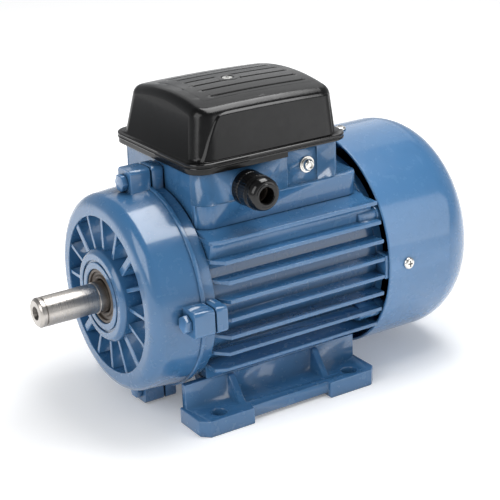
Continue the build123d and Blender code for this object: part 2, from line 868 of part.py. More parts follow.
# Rotor, shaft and fan
def shaft():
    seat = front_bearing_bore / 2
    rear_seat = rear_bearing_bore / 2
    tip = shaft_diameter / 2
    body = turned([
        (shaft_tip_x, 0),
        (shaft_tip_x, tip - shaft_chamfer),
        (shaft_tip_x - shaft_chamfer, tip),
        (shoulder_x, tip),
        (shoulder_x, seat),
        (front_bearing_x, seat),
        (front_bearing_x, shaft_body_radius),
        (rear_bearing_x + rear_bearing_width, shaft_body_radius),
        (rear_bearing_x + rear_bearing_width, rear_seat),
        (rear_hub_x, rear_seat),
        (rear_hub_x, fan_seat_radius),
        (shaft_rear_x, fan_seat_radius),
        (shaft_rear_x, 0),
    ])
    start = shoulder_x + keyway_start + keyway_width / 2
    end = start + keyway_length - keyway_width
    half = keyway_width / 2
    floor = tip - keyway_depth
    key = slab(start, end, floor, tip + cut_over, axis_height - half, axis_height + half)
    key += sideways(start, axis_height, floor, tip + cut_over, half)
    key += sideways(end, axis_height, floor, tip + cut_over, half)
    body -= spun(key, keyway_angle)
    body -= bar(shaft_tip_x - end_thread_depth, shaft_tip_x + cut_over, end_thread_radius)
    mouth = end_thread_mouth - end_thread_radius
    body -= turned([
        (shaft_tip_x, 0),
        (shaft_tip_x, end_thread_mouth),
        (shaft_tip_x - mouth, end_thread_radius),
        (shaft_tip_x - mouth, 0),
    ])
    groove = tube(clip_x - fit_slip, clip_x + clip_thickness + fit_slip, fan_seat_radius + cut_over,
                  fan_seat_radius - cut_over)
    return body - groove


def rotor_bars(radius, start, end):
    y, z = polar(0, rotor_radius - rotor_bar_depth)
    return around(bar(start, end, radius, y, z), rotor_bar_count)


def rotor_core():
    core = tube(stack_rear_x, stack_front_x, rotor_radius, shaft_body_radius + fit_slip)
    return core - rotor_bars(rotor_bar_radius + fit_slip, stack_rear_x - cut_over, stack_front_x + cut_over)


def rotor_cage():
    outer = rotor_radius - rotor_bar_depth + rotor_bar_radius + cage_ring_margin
    rings = tube(stack_front_x, stack_front_x + cage_ring_length, outer, outer - cage_ring_depth)
    rings += tube(stack_rear_x - cage_ring_length, stack_rear_x, outer, outer - cage_ring_depth)
    return rings + rotor_bars(rotor_bar_radius, stack_rear_x - cut_over, stack_front_x + cut_over)


def cooling_fan():
    fan = tube(fan_rear_x, fan_front_x, fan_hub_radius, fan_seat_radius + fit_slip)
    fan += tube(fan_front_x - fan_disc, fan_front_x, fan_radius, fan_seat_radius + fit_slip)
    half = fan_blade / 2
    root = fan_hub_radius - cut_over
    blade = slab(fan_rear_x, fan_front_x - fan_disc / 2, root, fan_radius, -half, half)
    return fan + around(Pos(0, 0, axis_height) * blade, fan_blades)


def fan_clip():
    inner = fan_seat_radius - cut_over + fit_slip
    ring = tube(clip_x, clip_x + clip_thickness, fan_seat_radius + clip_height, inner)
    half = clip_height / 2
    gap = slab(clip_x - cut_over, clip_x + 2 * clip_thickness, 0, 2 * fan_seat_radius, -half, half)
    return ring - Pos(0, 0, axis_height) * gap


# Ball bearings
def race(start, width, pitch, ball):
    ring = Torus(pitch, ball / 2 + running_gap)
    return Pos(start + width / 2, 0, axis_height) * Rot(0, 90, 0) * ring


def outer_ring(start, width, pitch, outer, ball, land):
    return tube(start, start + width, outer / 2, pitch + land) - race(start, width, pitch, ball)


def inner_ring(start, width, pitch, bore, ball, land):
    inner = bore / 2 + fit_slip
    return tube(start, start + width, pitch - land, inner) - race(start, width, pitch, ball)


def ball_set(start, width, pitch, radius):
    y, z = polar(0, pitch)
    return around(Pos(start + width / 2, y, z) * Sphere(radius), ball_count)


def ball_cage(start, width, pitch, ball):
    half = ball / 2 + cage_side
    middle = start + width / 2
    cage = tube(middle - half, middle + half, pitch + cage_half_wall, pitch - cage_half_wall)
    return cage - ball_set(start, width, pitch, ball / 2 + pocket_gap)


def shaft_seal():
    body = tube(seal_rear_x, seal_front_x, seal_outer / 2, front_bearing_bore / 2 + running_gap)
    recess = tube(seal_front_x - seal_lip, seal_front_x + cut_over, seal_outer / 2 - seal_lip,
                  front_bearing_bore / 2 + 2 * seal_lip)
    return body - recess


def preload_washer():
    outer = rear_bearing_outer / 2
    return tube(preload_x, preload_x + preload_thickness, outer, outer - rear_lip)


# Centrifugal start switch
def governor():
    hub = tube(governor_rear_x, governor_front_x, governor_radius, shaft_body_radius + fit_slip)
    half = weight_width / 2
    start = governor_radius - cut_over
    weight = slab(governor_rear_x, governor_front_x, start, start + weight_length, -half, half)
    return hub + around(Pos(0, 0, axis_height) * weight, 2)


def switch_collar():
    return tube(collar_rear_x, collar_front_x, collar_radius, shaft_body_radius + running_gap)


def start_switch():
    low = axis_height + switch_low
    high = axis_height + switch_high
    plate = slab(switch_rear_x, switch_front_x, -switch_half_width, switch_half_width, low, high)
    for side in (-1, 1):
        z = high - switch_post_drop
        plate += bar(rear_x, switch_rear_x + cut_over, switch_post_radius, side * switch_post_spread, z)
    return plate


# Terminal box base
def box_screw_places():
    front = box_front_x - box_screw_inset_x
    rear = box_rear_x + box_screw_inset_x
    y = box_inner_half - box_screw_inset_y
    return [(x, side * y) for x in (rear, front) for side in (-1, 1)]


def terminal_box_base():
    base = rounded_block(box_rear_x, box_front_x, box_half_width, box_seat, box_top, box_corner)
    plinth_half = box_half_width + box_plinth_step
    base += rounded_block(box_rear_x - box_plinth_rear, box_front_x, plinth_half, box_seat,
                          box_seat + box_plinth_height, box_corner)
    room_low = box_seat + box_floor
    room_high = box_top + cut_over
    room_ends = (box_inner_rear, box_inner_front)
    room = rounded_block(*room_ends, box_inner_half, room_low, room_high, box_inner_corner)
    base -= room - bar(box_inner_rear - cut_over, box_inner_front + cut_over, floor_radius)
    pad_rear = box_rear_x + earth_pad_setback
    pad_front = pad_rear + earth_pad_length
    pad_low = box_seat + box_plinth_height
    side_y = box_half_width + cut_over
    step_y = box_half_width - earth_step_depth
    base -= slab(pad_rear, pad_front, earth_pad_y, side_y, pad_low, box_top + cut_over)
    base -= slab(box_rear_x - cut_over, pad_rear, step_y, side_y, pad_low, box_top + cut_over)
    base += sideways(gland_x, gland_z, box_inner_half, gland_seat_y, gland_boss_radius)
    base += upright(cover_middle_x, 0, axis_height + frame_radius, cover_post_z, cover_post_radius)
    for x, y in box_screw_places():
        base += upright(x, y, box_seat, box_seat + box_screw_boss_height, box_screw_boss)
    for side in (-1, 1):
        base += upright(board_x(), side * board_post_y, box_seat, box_seat + board_rise, board_post_radius)
    base -= bar(box_rear_x - box_plinth_rear - cut_over, box_front_x + cut_over, frame_radius + casting_gap)
    base -= sideways(gland_x, gland_z, 0, gland_seat_y + cut_over, gland_thread_radius + fit_slip)
    base -= sideways(earth_x, earth_z, earth_pad_y - earth_screw_bite - fit_slip, earth_pad_y + cut_over,
                     earth_screw_radius + thread_clearance)
    for x, y in box_screw_places():
        base -= upright(x, y, axis_height, box_top, box_screw_radius + screw_clearance)
    hole_low = cover_post_z - cover_screw_bite - cut_over
    hole = cover_screw_radius + thread_clearance
    base -= upright(cover_middle_x, 0, hole_low, cover_post_z + cut_over, hole)
    return base


def terminal_box_screws():
    screws = []
    seat = box_seat + box_screw_boss_height
    for x, y in box_screw_places():
        contact = axis_height + sqrt(frame_radius ** 2 - y ** 2)
        shank = upright(x, y, contact - box_screw_bite, seat + cut_over, box_screw_radius)
        screws.append(shank + upright(x, y, seat, seat + box_screw_head, box_screw_head_radius))
    return screws


# Terminal box cover and gasket
def cover_gasket():
    inset = gasket_inset
    gasket = rounded_block(box_rear_x + inset, box_front_x - inset, box_half_width - earth_pad_depth, box_top,
                           flange_low, box_corner - inset)
    return gasket - rounded_block(box_inner_rear, box_inner_front, box_inner_half, box_top - cut_over,
                                  flange_low + cut_over, box_inner_corner)


def cover_crown(top):
    line_z = top - cover_crown_radius
    crest_x = cover_middle_x + cover_crest_lead
    reach = box_length / 2 + flange_margin
    ends = []
    for x in (cover_middle_x - reach, cover_middle_x + reach):
        drop = cover_arch_radius - sqrt(cover_arch_radius ** 2 - (x - crest_x) ** 2)
        ends.append((x, 0, top - drop))
    rear, front = ends
    arch = ThreePointArc(rear, (crest_x, 0, top), front)
    low_front = (front[0], 0, line_z)
    low_rear = (rear[0], 0, line_z)
    outline = make_face([arch, Line(front, low_front), Line(low_front, low_rear), Line(low_rear, rear)])
    return revolve(outline, Axis((0, 0, line_z), (1, 0, 0)))


def cover_shell(inset, low, top, rounding):
    front = box_front_x + flange_margin - cover_inset - inset
    rear = box_rear_x - flange_margin + cover_inset + inset
    half = box_half_width + flange_margin - cover_inset - inset
    corner = cover_corner - inset
    lower = Pos((front + rear) / 2, 0, low) * RectangleRounded(front - rear, 2 * half, corner)
    top_front = front - cover_front_lean
    top_rear = rear + cover_rear_lean
    top_half = half - cover_side_lean
    top_outline = RectangleRounded(top_front - top_rear, 2 * top_half, corner)
    upper = Pos((top_front + top_rear) / 2, 0, top) * top_outline
    body = loft([lower, upper]) & cover_crown(top)
    top_face = body.faces().sort_by(Axis.Z)[-1]
    return fillet(top_face.edges(), rounding)


def terminal_box_cover():
    front = box_front_x + flange_margin
    rear = box_rear_x - flange_margin
    half = box_half_width + flange_margin
    corner = flange_corner
    cover = rounded_block(rear, front, half, flange_low, flange_high, corner)
    skirt = rounded_block(rear, front, half, skirt_low, flange_low, corner)
    skirt -= rounded_block(rear + skirt_wall, front - skirt_wall, half - skirt_wall, skirt_low - cut_over,
                           flange_low + cut_over, corner - skirt_wall)
    skirt &= slab(front - skirt_length, front, -half, half, skirt_low, flange_low)
    cover += skirt
    cover += cover_shell(0, flange_high, cover_top, cover_rounding)
    inner_rounding = cover_rounding - cover_wall
    cover -= cover_shell(cover_wall, flange_low - cut_over, cover_top - cover_wall, inner_rounding)
    groove_front = front - groove_front_margin
    groove_rear = rear + groove_rear_margin
    half_groove = groove_width / 2
    groove_floor = cover_crown(cover_top - groove_depth)
    above = cover_top + cut_over
    for index in range(groove_count):
        y = (index - (groove_count - 1) / 2) * groove_pitch
        cut = slab(groove_rear, groove_front, y - half_groove, y + half_groove, flange_high, above)
        cover -= cut - groove_floor
    x = cover_middle_x
    cover += upright(x, 0, cover_post_z, cover_top - cover_wall, cover_screw_head_radius + cover_wall)
    cover -= upright(x, 0, cover_post_z - cut_over, above, cover_screw_radius + screw_clearance)
    cover -= upright(x, 0, cover_top - cover_screw_recess, above, cover_screw_head_radius + screw_clearance)
    return cover


def cover_screw():
    seat = cover_top - cover_screw_recess
    x = cover_middle_x
    screw = upright(x, 0, cover_post_z - cover_screw_bite, seat + cut_over, cover_screw_radius)
    return screw + upright(x, 0, seat, seat + cover_screw_head, cover_screw_head_radius)


# Terminal board with its studs
def board_x():
    return box_inner_front - board_front_setback - board_length / 2


def stud_places():
    rows = [(index - (stud_rows - 1) / 2) * stud_pitch_x for index in range(stud_rows)]
    columns = [(index - (stud_columns - 1) / 2) * stud_pitch_y for index in range(stud_columns)]
    return [(board_x() + row, column) for row in rows for column in columns]


def terminal_board():
    low = box_seat + board_rise
    high = low + board_thickness
    half = board_length / 2
    half_width = box_inner_half - board_side_gap
    board = slab(board_x() - half, board_x() + half, -half_width, half_width, low, high)
    for x, y in stud_places():
        board -= upright(x, y, low - cut_over, high + cut_over, stud_radius + fit_slip)
    return board


def terminal_studs():
    studs = []
    low = box_seat + board_rise
    seat = low + board_thickness
    for x, y in stud_places():
        stud = upright(x, y, low, low + stud_height, stud_radius)
        studs.append(stud + Pos(x, y, seat) * hexagon(stud_flats, stud_nut))
    return studs


# Capacitors and their clamps
def capacitor(side):
    y = side * capacitor_y
    z = box_seat + capacitor_rise
    body = bar(capacitor_rear_x, capacitor_front_x, capacitor_radius, y, z)
    cap_end = capacitor_front_x + capacitor_cap
    body += bar(capacitor_front_x - cut_over, cap_end, capacitor_cap_radius, y, z)
    half = capacitor_tag / 2
    tag_end = cap_end + capacitor_tag
    tag = slab(capacitor_front_x, tag_end, y - half, y + half, z, z + capacitor_tag_thickness)
    return body + tag


def capacitor_clamps():
    clamps = []
    front = cover_middle_x - cover_post_radius - clamp_post_gap
    rear = capacitor_rear_x + clamp_rear_inset + clamp_plate
    z = box_seat + capacitor_rise
    reach = capacitor_y + capacitor_radius + clamp_ring
    for x in (rear, front):
        plate = slab(x - clamp_plate, x, -reach, reach, box_seat + box_floor + clamp_floor_gap, z)
        for side in (-1, 1):
            plate += bar(x - clamp_plate, x, capacitor_radius + clamp_ring, side * capacitor_y, z)
        rear_side = x - clamp_plate - cut_over
        plate -= bar(rear_side, x + cut_over, floor_radius + clamp_floor_gap)
        for side in (-1, 1):
            plate -= bar(rear_side, x + cut_over, capacitor_radius + fit_slip, side * capacitor_y, z)
        clamps.append(plate)
    return clamps


# Cable gland, along +Y
def gland_turned(points):
    line = Axis((gland_x, 0, gland_z), (0, 1, 0))
    outline = [(gland_x + radius, y, gland_z) for y, radius in points]
    return revolve(make_face(Polyline(*outline, close=True)), line)


def gland_hexagon(near, far, flats):
    return Pos(gland_x, near, gland_z) * Rot(-90, 0, 0) * hexagon(flats, far - near)


def gland_body():
    collar_end = gland_seat_y + gland_collar
    inner_end = box_inner_half - locknut_length - fit_slip
    body = sideways(gland_x, gland_z, inner_end, gland_seat_y + cut_over, gland_thread_radius)
    body += sideways(gland_x, gland_z, gland_seat_y, collar_end, gland_collar_radius)
    neck_end = collar_end + gland_neck
    body += sideways(gland_x, gland_z, collar_end - cut_over, neck_end, gland_neck_radius)
    return body - sideways(gland_x, gland_z, inner_end - cut_over, neck_end + cut_over, gland_bore_radius)


def gland_seal():
    end = gland_seat_y + gland_collar + gland_neck
    outer = gland_bore_radius - fit_slip
    return gland_turned([
        (end - gland_seal_length, outer - gland_seal_wall),
        (end - gland_seal_length, outer),
        (end, outer),
        (end, outer - gland_seal_wall),
    ])


def gland_nut():
    near = gland_seat_y + gland_collar + gland_nut_gap
    far = near + gland_nut_length
    room = gland_seat_y + gland_collar + gland_neck + gland_nut_gap
    ring = near + gland_nut_grip
    return gland_turned([
        (near, gland_neck_radius + fit_slip),
        (near, gland_nut_radius),
        (ring, gland_nut_radius),
        (ring, gland_nut_radius - gland_nut_gap),
        (far - gland_mouth_wall, gland_nut_radius - gland_nut_gap),
        (far - gland_nut_gap, gland_mouth_outer + gland_nut_gap),
        (far, gland_mouth_outer),
        (far, gland_mouth_radius),
        (far - gland_mouth_wall, gland_mouth_radius),
        (room, gland_neck_radius + fit_slip),
    ])


def gland_locknut():
    near = box_inner_half - locknut_length
    nut = gland_hexagon(near, box_inner_half, locknut_flats)
    hole = gland_thread_radius + fit_slip
    return nut - sideways(gland_x, gland_z, near - cut_over, box_inner_half + cut_over, hole)


# Earth screw on the side of the box
def earth_washer_ring():
    washer = sideways(earth_x, earth_z, earth_pad_y, earth_pad_y + earth_washer, earth_washer_radius)
    return washer - sideways(earth_x, earth_z, earth_pad_y - cut_over, earth_pad_y + 2 * earth_washer,
                             earth_screw_radius + fit_slip)


def earth_screw():
    seat = earth_pad_y + earth_washer
    screw = sideways(earth_x, earth_z, earth_pad_y - earth_screw_bite, seat + cut_over, earth_screw_radius)
    head = Pos(earth_x, seat, earth_z) * Rot(-90, 0, 0) * hexagon(earth_screw_flats, earth_screw_head)
    return screw + head


def front_bearing(maker, size):
    return maker(front_bearing_x, front_bearing_width, front_pitch, size, front_ball, front_land)


def rear_bearing(maker, size):
    return maker(rear_bearing_x, rear_bearing_width, rear_pitch, size, rear_ball, rear_land)


right_foot = foot()
nodes = {
    "stator_frame": stator_frame(),
    "foot_right": right_foot,
    "foot_left": mirrored_y(right_foot),
    "foot_screws": foot_screws(),
    "drive_end_shield": drive_end_shield(),
    "front_shield_bolts": front_shield_bolts(),
    "rear_end_shield": rear_end_shield(),
    "rear_shield_bolts": rear_shield_bolts(),
    "fan_cowl": fan_cowl(),
    "cowl_screws": cowl_screws(),
    "stator_core": stator_core(),
    "main_winding": main_winding(),
    "start_winding": start_winding(),
    "front_bearing_outer_ring": front_bearing(outer_ring, front_bearing_outer),
    "rear_bearing_outer_ring": rear_bearing(outer_ring, rear_bearing_outer),
    "shaft_seal": shaft_seal(),
    "preload_washer": preload_washer(),
    "start_switch": start_switch(),
    "terminal_box_base": terminal_box_base(),
    "terminal_box_screws": terminal_box_screws(),
    "cover_gasket": cover_gasket(),
    "terminal_box_cover": terminal_box_cover(),
    "cover_screw": cover_screw(),
    "terminal_board": terminal_board(),
    "terminal_studs": terminal_studs(),
    "run_capacitor": capacitor(-1),
    "start_capacitor": capacitor(1),
    "capacitor_clamps": capacitor_clamps(),
    "gland_body": gland_body(),
    "gland_seal": gland_seal(),
    "gland_nut": gland_nut(),
    "gland_locknut": gland_locknut(),
    "earth_screw": earth_screw(),
    "earth_washer": earth_washer_ring(),
    "shaft": shaft(),
    "rotor_core": rotor_core(),
    "rotor_cage": rotor_cage(),
    "front_bearing_inner_ring": front_bearing(inner_ring, front_bearing_bore),
    "rear_bearing_inner_ring": rear_bearing(inner_ring, rear_bearing_bore),
    "cooling_fan": cooling_fan(),
    "fan_clip": fan_clip(),
    "governor": governor(),
    "front_bearing_balls": ball_set(front_bearing_x, front_bearing_width, front_pitch, front_ball / 2),
    "front_bearing_cage": ball_cage(front_bearing_x, front_bearing_width, front_pitch, front_ball),
    "rear_bearing_balls": ball_set(rear_bearing_x, rear_bearing_width, rear_pitch, rear_ball / 2),
    "rear_bearing_cage": ball_cage(rear_bearing_x, rear_bearing_width, rear_pitch, rear_ball),
    "switch_collar": switch_collar(),
}

os.makedirs("parts", exist_ok=True)
for name, solid in nodes.items():
    shape = Compound(children=solid) if isinstance(solid, list) else solid
    export_step(shape, f"parts/{name}.step")
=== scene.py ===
import json
from math import cos, pi, radians, sin, sqrt

import bmesh
import bpy
from mathutils import Matrix, Vector
from mathutils.bvhtree import BVHTree
from mathutils.geometry import delaunay_2d_cdt, intersect_point_line


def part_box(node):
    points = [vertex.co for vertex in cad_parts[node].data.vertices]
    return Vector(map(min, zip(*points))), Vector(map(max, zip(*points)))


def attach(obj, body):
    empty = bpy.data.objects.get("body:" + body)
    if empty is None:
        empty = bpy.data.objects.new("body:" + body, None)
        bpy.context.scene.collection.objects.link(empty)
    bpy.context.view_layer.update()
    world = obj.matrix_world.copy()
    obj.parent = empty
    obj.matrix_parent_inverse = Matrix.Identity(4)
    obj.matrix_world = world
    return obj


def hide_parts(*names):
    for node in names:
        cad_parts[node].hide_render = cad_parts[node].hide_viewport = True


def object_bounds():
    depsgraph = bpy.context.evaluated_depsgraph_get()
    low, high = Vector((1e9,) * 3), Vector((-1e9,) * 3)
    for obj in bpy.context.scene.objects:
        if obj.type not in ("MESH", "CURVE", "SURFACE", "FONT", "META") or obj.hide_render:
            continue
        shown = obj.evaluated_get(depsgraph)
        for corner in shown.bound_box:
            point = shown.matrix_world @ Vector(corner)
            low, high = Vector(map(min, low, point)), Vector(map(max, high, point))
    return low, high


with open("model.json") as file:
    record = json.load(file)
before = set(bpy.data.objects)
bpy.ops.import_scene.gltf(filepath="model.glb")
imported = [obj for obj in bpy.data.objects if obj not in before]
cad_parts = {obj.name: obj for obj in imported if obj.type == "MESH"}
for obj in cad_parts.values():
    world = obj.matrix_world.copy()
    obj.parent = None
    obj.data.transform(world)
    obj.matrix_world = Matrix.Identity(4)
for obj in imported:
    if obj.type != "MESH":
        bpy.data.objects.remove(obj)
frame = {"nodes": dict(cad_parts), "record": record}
cad_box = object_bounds()
scene = bpy.context.scene
mm = 0.001
node_slots = {entry["node"]: entry["material_slot"] for entry in frame["record"]["subparts"]}

# The view of the photograph, which looks at the shaft's axis
view_azimuth = radians(148.0995)
view_elevation = radians(20.8277)
view_roll = radians(-2.26896)
view_distance = 965.27 * mm
view_side_step = 13.405 * mm
view_rise = 7.875 * mm
view_target = Vector((0, 0, 80 * mm))
view_lens = 105.596
view_near = 10 * mm
axis_z = view_target.z

# Soft edges on castings and mouldings, with widths in millimetres and angles in degrees
soft_widths = {
    "stator_frame": 0.7,
    "drive_end_shield": 0.8,
    "rear_end_shield": 0.6,
    "foot_right": 1.0,
    "foot_left": 1.0,
    "terminal_box_base": 0.9,
    "terminal_box_cover": 0.6,
    "front_shield_bolts": 0.6,
}
turned_nodes = ("stator_frame", "drive_end_shield", "rear_end_shield")
shaft_soft_width = 0.45
soft_segments = 3
soft_angle = 32.0
flat_angle = 0.6
crease_angle = 35.0
weld_gap = 0.002
free_room = 1000.0
room_share = 0.45
in_line_turn = 0.75
in_line_offset = 0.45
weight_growth = 1.5
weight_passes = 3
least_weight = 0.12

# Limits for mended faces and turned normals
area_error = 0.002
merge_gap = 1e-5
turned_error = 0.05
circle_grid = 2e4
least_circle = 1.0
skin_match = 0.85

# Screws, in millimetres, with the pan head's curve in shares of its rise and radius
screw_head_radius = 4.0
screw_head_rise = 2.2
screw_shank_radius = 2.0
screw_shank = 7.0
screw_segments = 48
pan_curve = (
    (0, 0.97), (0.12, 1), (0.34, 0.985), (0.58, 0.92), (0.78, 0.8), (0.91, 0.62), (0.98, 0.36), (1, 0),
)
cross_width = 0.95
cross_length = 4.4
cross_depth = 1.5
cross_above = 1.0
cross_taper = 0.55
cover_cross_share = 0.7
cover_screw_head_radius = 3.5
cover_screw_head_rise = 2.6
cover_screw_proud = 0.45
cover_head_rounding = ((0.5, 0), (0.2, 0.15), (0.05, 0.6), (0, 1.3))
earth_head_radius = 4.1
earth_head_rise = 3.6
earth_collar_rise = 0.8
earth_shank_radius = 2.5
earth_head_curve = (
    (1.0, 3.7), (2.6, 3.5), (3.2, 3.2), (3.5, 2.7), (3.6, 2.3), (3.4, 1.9), (2.6, 1.75), (2.6, 0),
)

# Cable gland, in millimetres
gland_segments = 180
grip_waves = 36
grip_depth = 0.1
nut_outer = 10.9
nut_mouth = 7.4
nut_mouth_bore = 5.2
nut_neck_bore = 8.7
nut_length = 16.5
nut_edge = 0.4
nut_step = 0.35
nut_grip_end = 7.0
nut_grip_fall = 0.3
nut_rings = (7.5, 8.4, 9.3)
nut_ring_lead = 0.15
nut_ring_width = 0.65
nut_dome_start = 10.2
nut_dome_inset = 0.2
nut_dome_power = 0.85
nut_dome_steps = 14
nut_mouth_flare = 0.6
nut_mouth_lead = 0.5
nut_mouth_depth = 4.5
nut_neck_depth = 7.8
collar_bore = 6.8
collar_neck = 8.6
collar_thread = 9.9
collar_outer = 11.2
collar_edge = 0.4
collar_taper = 0.2
collar_start = -13.0
collar_end = -7.0
collar_grip_start = -12.0
collar_grip_end = -7.6

# Shaft seal: its turned outline from the inner end, in millimetres
seal_segments = 96
seal_profile = (
    (0, 17.5), (6.7, 17.5), (7.0, 17.2), (7.0, 15.9), (6.7, 15.6), (5.5, 15.4), (5.3, 15.1), (5.3, 13.6),
    (5.7, 13.2), (6.3, 12.8), (6.5, 12.3), (6.3, 11.7), (5.6, 11.0), (5.0, 10.5), (4.6, 10.35), (0, 10.35),
)

# Shaft end: the turned groove and the thread with its mouth, in millimetres
shaft_radius = 9.5
shaft_groove_setback = 4.2
shaft_groove_width = 1.5
shaft_groove_depth = 0.7
shaft_cutter_rise = 0.3
shaft_cutter_reach = 1.5
shaft_cutter_half = 0.2
shaft_segments = 96
thread_radius = 2.46
thread_depth = 0.42
thread_pitch = 1.0
thread_turns = 8
thread_setback = 2
thread_lead = 0.15
thread_mouth_end = 1.93
thread_mouth_radius = 4.28
thread_segments = 40

# Fan cowl, in millimetres
cowl_rounding = 29.0
lip_radius = 0.9
lip_sides = 12
lip_segments = 128

# Top of the terminal box cover: its skin, grooves and the ring round its screw, in millimetres
cover_top = 204.0
cover_crown_radius = 175.0
cover_arch_radius = 1150.0
cover_crest_x = 5.35
groove_half = 1.2
groove_depth = 1.5
groove_wall = 0.3
groove_places = (-26.25, -15.75, -5.25, 5.25, 15.75, 26.25)
groove_shares = (0.0, 0.4, 0.7, 0.77, 0.85, 0.93, 1.0)
groove_beside = 3.0
groove_front_x = 27.0
groove_front_run = 10.0
groove_rear_x = -45.5
groove_rear_run = 3.0
groove_ring_run = 3.0
top_margin = 4.5
top_overlap = 1.2
top_lift = 0.03
top_steps = 90
top_front = groove_front_x + top_margin
top_rear = groove_rear_x - top_margin
top_half = groove_places[-1] + top_margin
pocket_depth = 1.9
pocket_steps = 24
ring_radius = 7.4
ring_overlap = 1.4
ring_segments = 64
ring_rim_curve = ((-0.25, 0), (0.02, 0.1), (0.12, 0.6))
ring_bore_curve = ((0.15, 0.9), (0.08, 0.35), (-0.2, 0))
ring_bore_radius = 3.85
ring_bore_depth = 2.95
ring_floor_taper = 0.15
ring_floor_radius = 1.9

# Raised side panels of the cover: outline points, front edge by height and top edge by place, in millimetres
panel_front = (
    (169.4, 45.2), (172.4, 43.5), (176.1, 41.9), (180.4, 40.0), (184.6, 37.9), (188.8, 35.6), (192.4, 33.2),
    (194.4, 31.0), (195.3, 28.6), (196.0, 25.0),
)
panel_top = (
    (-60.0, 194.5), (-45.0, 195.2), (-30.0, 195.8), (-15.0, 196.1), (0.0, 196.3), (20.0, 196.3),
    (50.0, 195.6),
)
panel_rear = -52.0
panel_low = 169.2
panel_rise = 1.3
panel_edge = 1.9
panel_sink = 0.12
panel_lean = radians(9.3)
panel_outside = 90
panel_sides = {"cover_panel_right": 1, "cover_panel_left": -1}
panel_front_shares = [0, 0.006, 0.012, 0.018, 0.024, 0.03]
panel_middle_steps = 40
panel_middle_share = 0.94
panel_rear_shares = [0.976, 0.982, 0.988, 0.994, 1.0]
panel_low_steps = 24
panel_low_levels = 20
panel_high_levels = [0.82, 0.85, 0.88, 0.9, 0.92, 0.94, 0.96, 0.98, 1.0]

# Beads round the cover's flange, with their heights above its lower edge, in millimetres
bead_levels = {"cover_flange_bead_upper": 6.2, "cover_flange_bead_lower": 3.9}
bead_radius = 0.75
bead_sink = 0.3
bead_sides = 10
flange_corner = 12.0
flange_corner_steps = 10

# Floor, sky and lights, in metres and watts
floor_half = 8.0
# The ellipse of lower floor glow under the object is a painted shadow
shade_half_length = 0.17
shade_half_width = 0.11
shade_shift = (0.5, 0.25, 0)
shade_start = 0.9
shade_end = 2.3
shade_glow = 0.16
floor_glow = 0.68
sky_tone = (0.95, 0.97, 1.0, 1)
sky_low = 0.55
sky_high = 0.12
sky_reach = 0.9
softboxes = (
    ("overhead_window", (-0.18, 0.04, 0.67), (0.08, 0.03, 0.13), 0.34, 0.5, 3.8),
    ("side_window", (-0.69, 0.85, 0.36), (-0.1, 0.05, 0.1), 0.6, 0.62, 1.9),
    ("back_window", (-0.5, -0.66, 0.8), (0.0, 0.0, 0.12), 0.9, 0.9, 1.5),
    ("front_softbox", (1.35, 0.35, 0.95), (0.0, 0.0, 0.08), 1.2, 1.0, 11.0),
)


# Node helpers for the materials
class Shader:
    def __init__(self, name):
        self.material = bpy.data.materials.new(name)
        self.material.use_nodes = True
        self.tree = self.material.node_tree
        self.surface = self.tree.nodes["Principled BSDF"]
        self.place = self.node("ShaderNodeTexCoord").outputs["Object"]

    def node(self, kind, **settings):
        made = self.tree.nodes.new(kind)
        for key, value in settings.items():
            setattr(made, key, value)
        return made

    def feed(self, socket, value):
        if hasattr(value, "is_linked"):
            self.tree.links.new(value, socket)
        else:
            socket.default_value = value

    def set(self, **values):
        for key, value in values.items():
            self.surface.inputs[key.replace("_", " ")].default_value = value

    def noise(self, scale, detail=3.0, roughness=0.55, vector=None):
        made = self.node("ShaderNodeTexNoise")
        self.feed(made.inputs["Scale"], scale)
        self.feed(made.inputs["Detail"], detail)
        self.feed(made.inputs["Roughness"], roughness)
        self.feed(made.inputs["Vector"], vector or self.place)
        return made.outputs["Fac"]

    def stretched(self, factors):
        made = self.node("ShaderNodeVectorMath", operation="MULTIPLY")
        self.feed(made.inputs[0], self.place)
        self.feed(made.inputs[1], factors)
        return made.outputs["Vector"]

    def span(self, value, low, high, from_low=0.3, from_high=0.7):
        made = self.node("ShaderNodeMapRange")
        self.feed(made.inputs["Value"], value)
        self.feed(made.inputs["From Min"], from_low)
        self.feed(made.inputs["From Max"], from_high)
        self.feed(made.inputs["To Min"], low)
        self.feed(made.inputs["To Max"], high)
        return made.outputs["Result"]

    def mix(self, amount, first, second):
        made = self.node("ShaderNodeMix", data_type="RGBA")
        self.feed(made.inputs["Factor"], amount)
        for index, value in ((6, first), (7, second)):
            self.feed(made.inputs[index], value if hasattr(value, "is_linked") else (*value, 1))
        return made.outputs[2]

    # Painted shade: the ambient occlusion node gives a mask that darkens colour in creases, recesses and
    # gaps between parts
    def crevice_shade(self, reach):
        made = self.node("ShaderNodeAmbientOcclusion", samples=6)
        self.feed(made.inputs["Distance"], reach)
        return made.outputs["AO"]

    # Mask of convex edges, from the mesh's pointiness, used for a painted edge highlight
    def edges(self, low, high):
        return self.span(self.node("ShaderNodeNewGeometry").outputs["Pointiness"], 0, 1, low, high)

    def bump(self, height, strength, distance, below=None):
        made = self.node("ShaderNodeBump")
        self.feed(made.inputs["Strength"], strength)
        self.feed(made.inputs["Distance"], distance)
        self.feed(made.inputs["Height"], height)
        if below:
            self.feed(made.inputs["Normal"], below)
        return made.outputs["Normal"]

    def wire(self, colour, roughness, normal):
        self.feed(self.surface.inputs["Base Color"], colour)
        self.feed(self.surface.inputs["Roughness"], roughness)
        self.feed(self.surface.inputs["Normal"], normal)
        return self.material


def scaled(colour, factor, lift=0.0):
    return tuple(min(1.0, channel * factor + lift) for channel in colour)


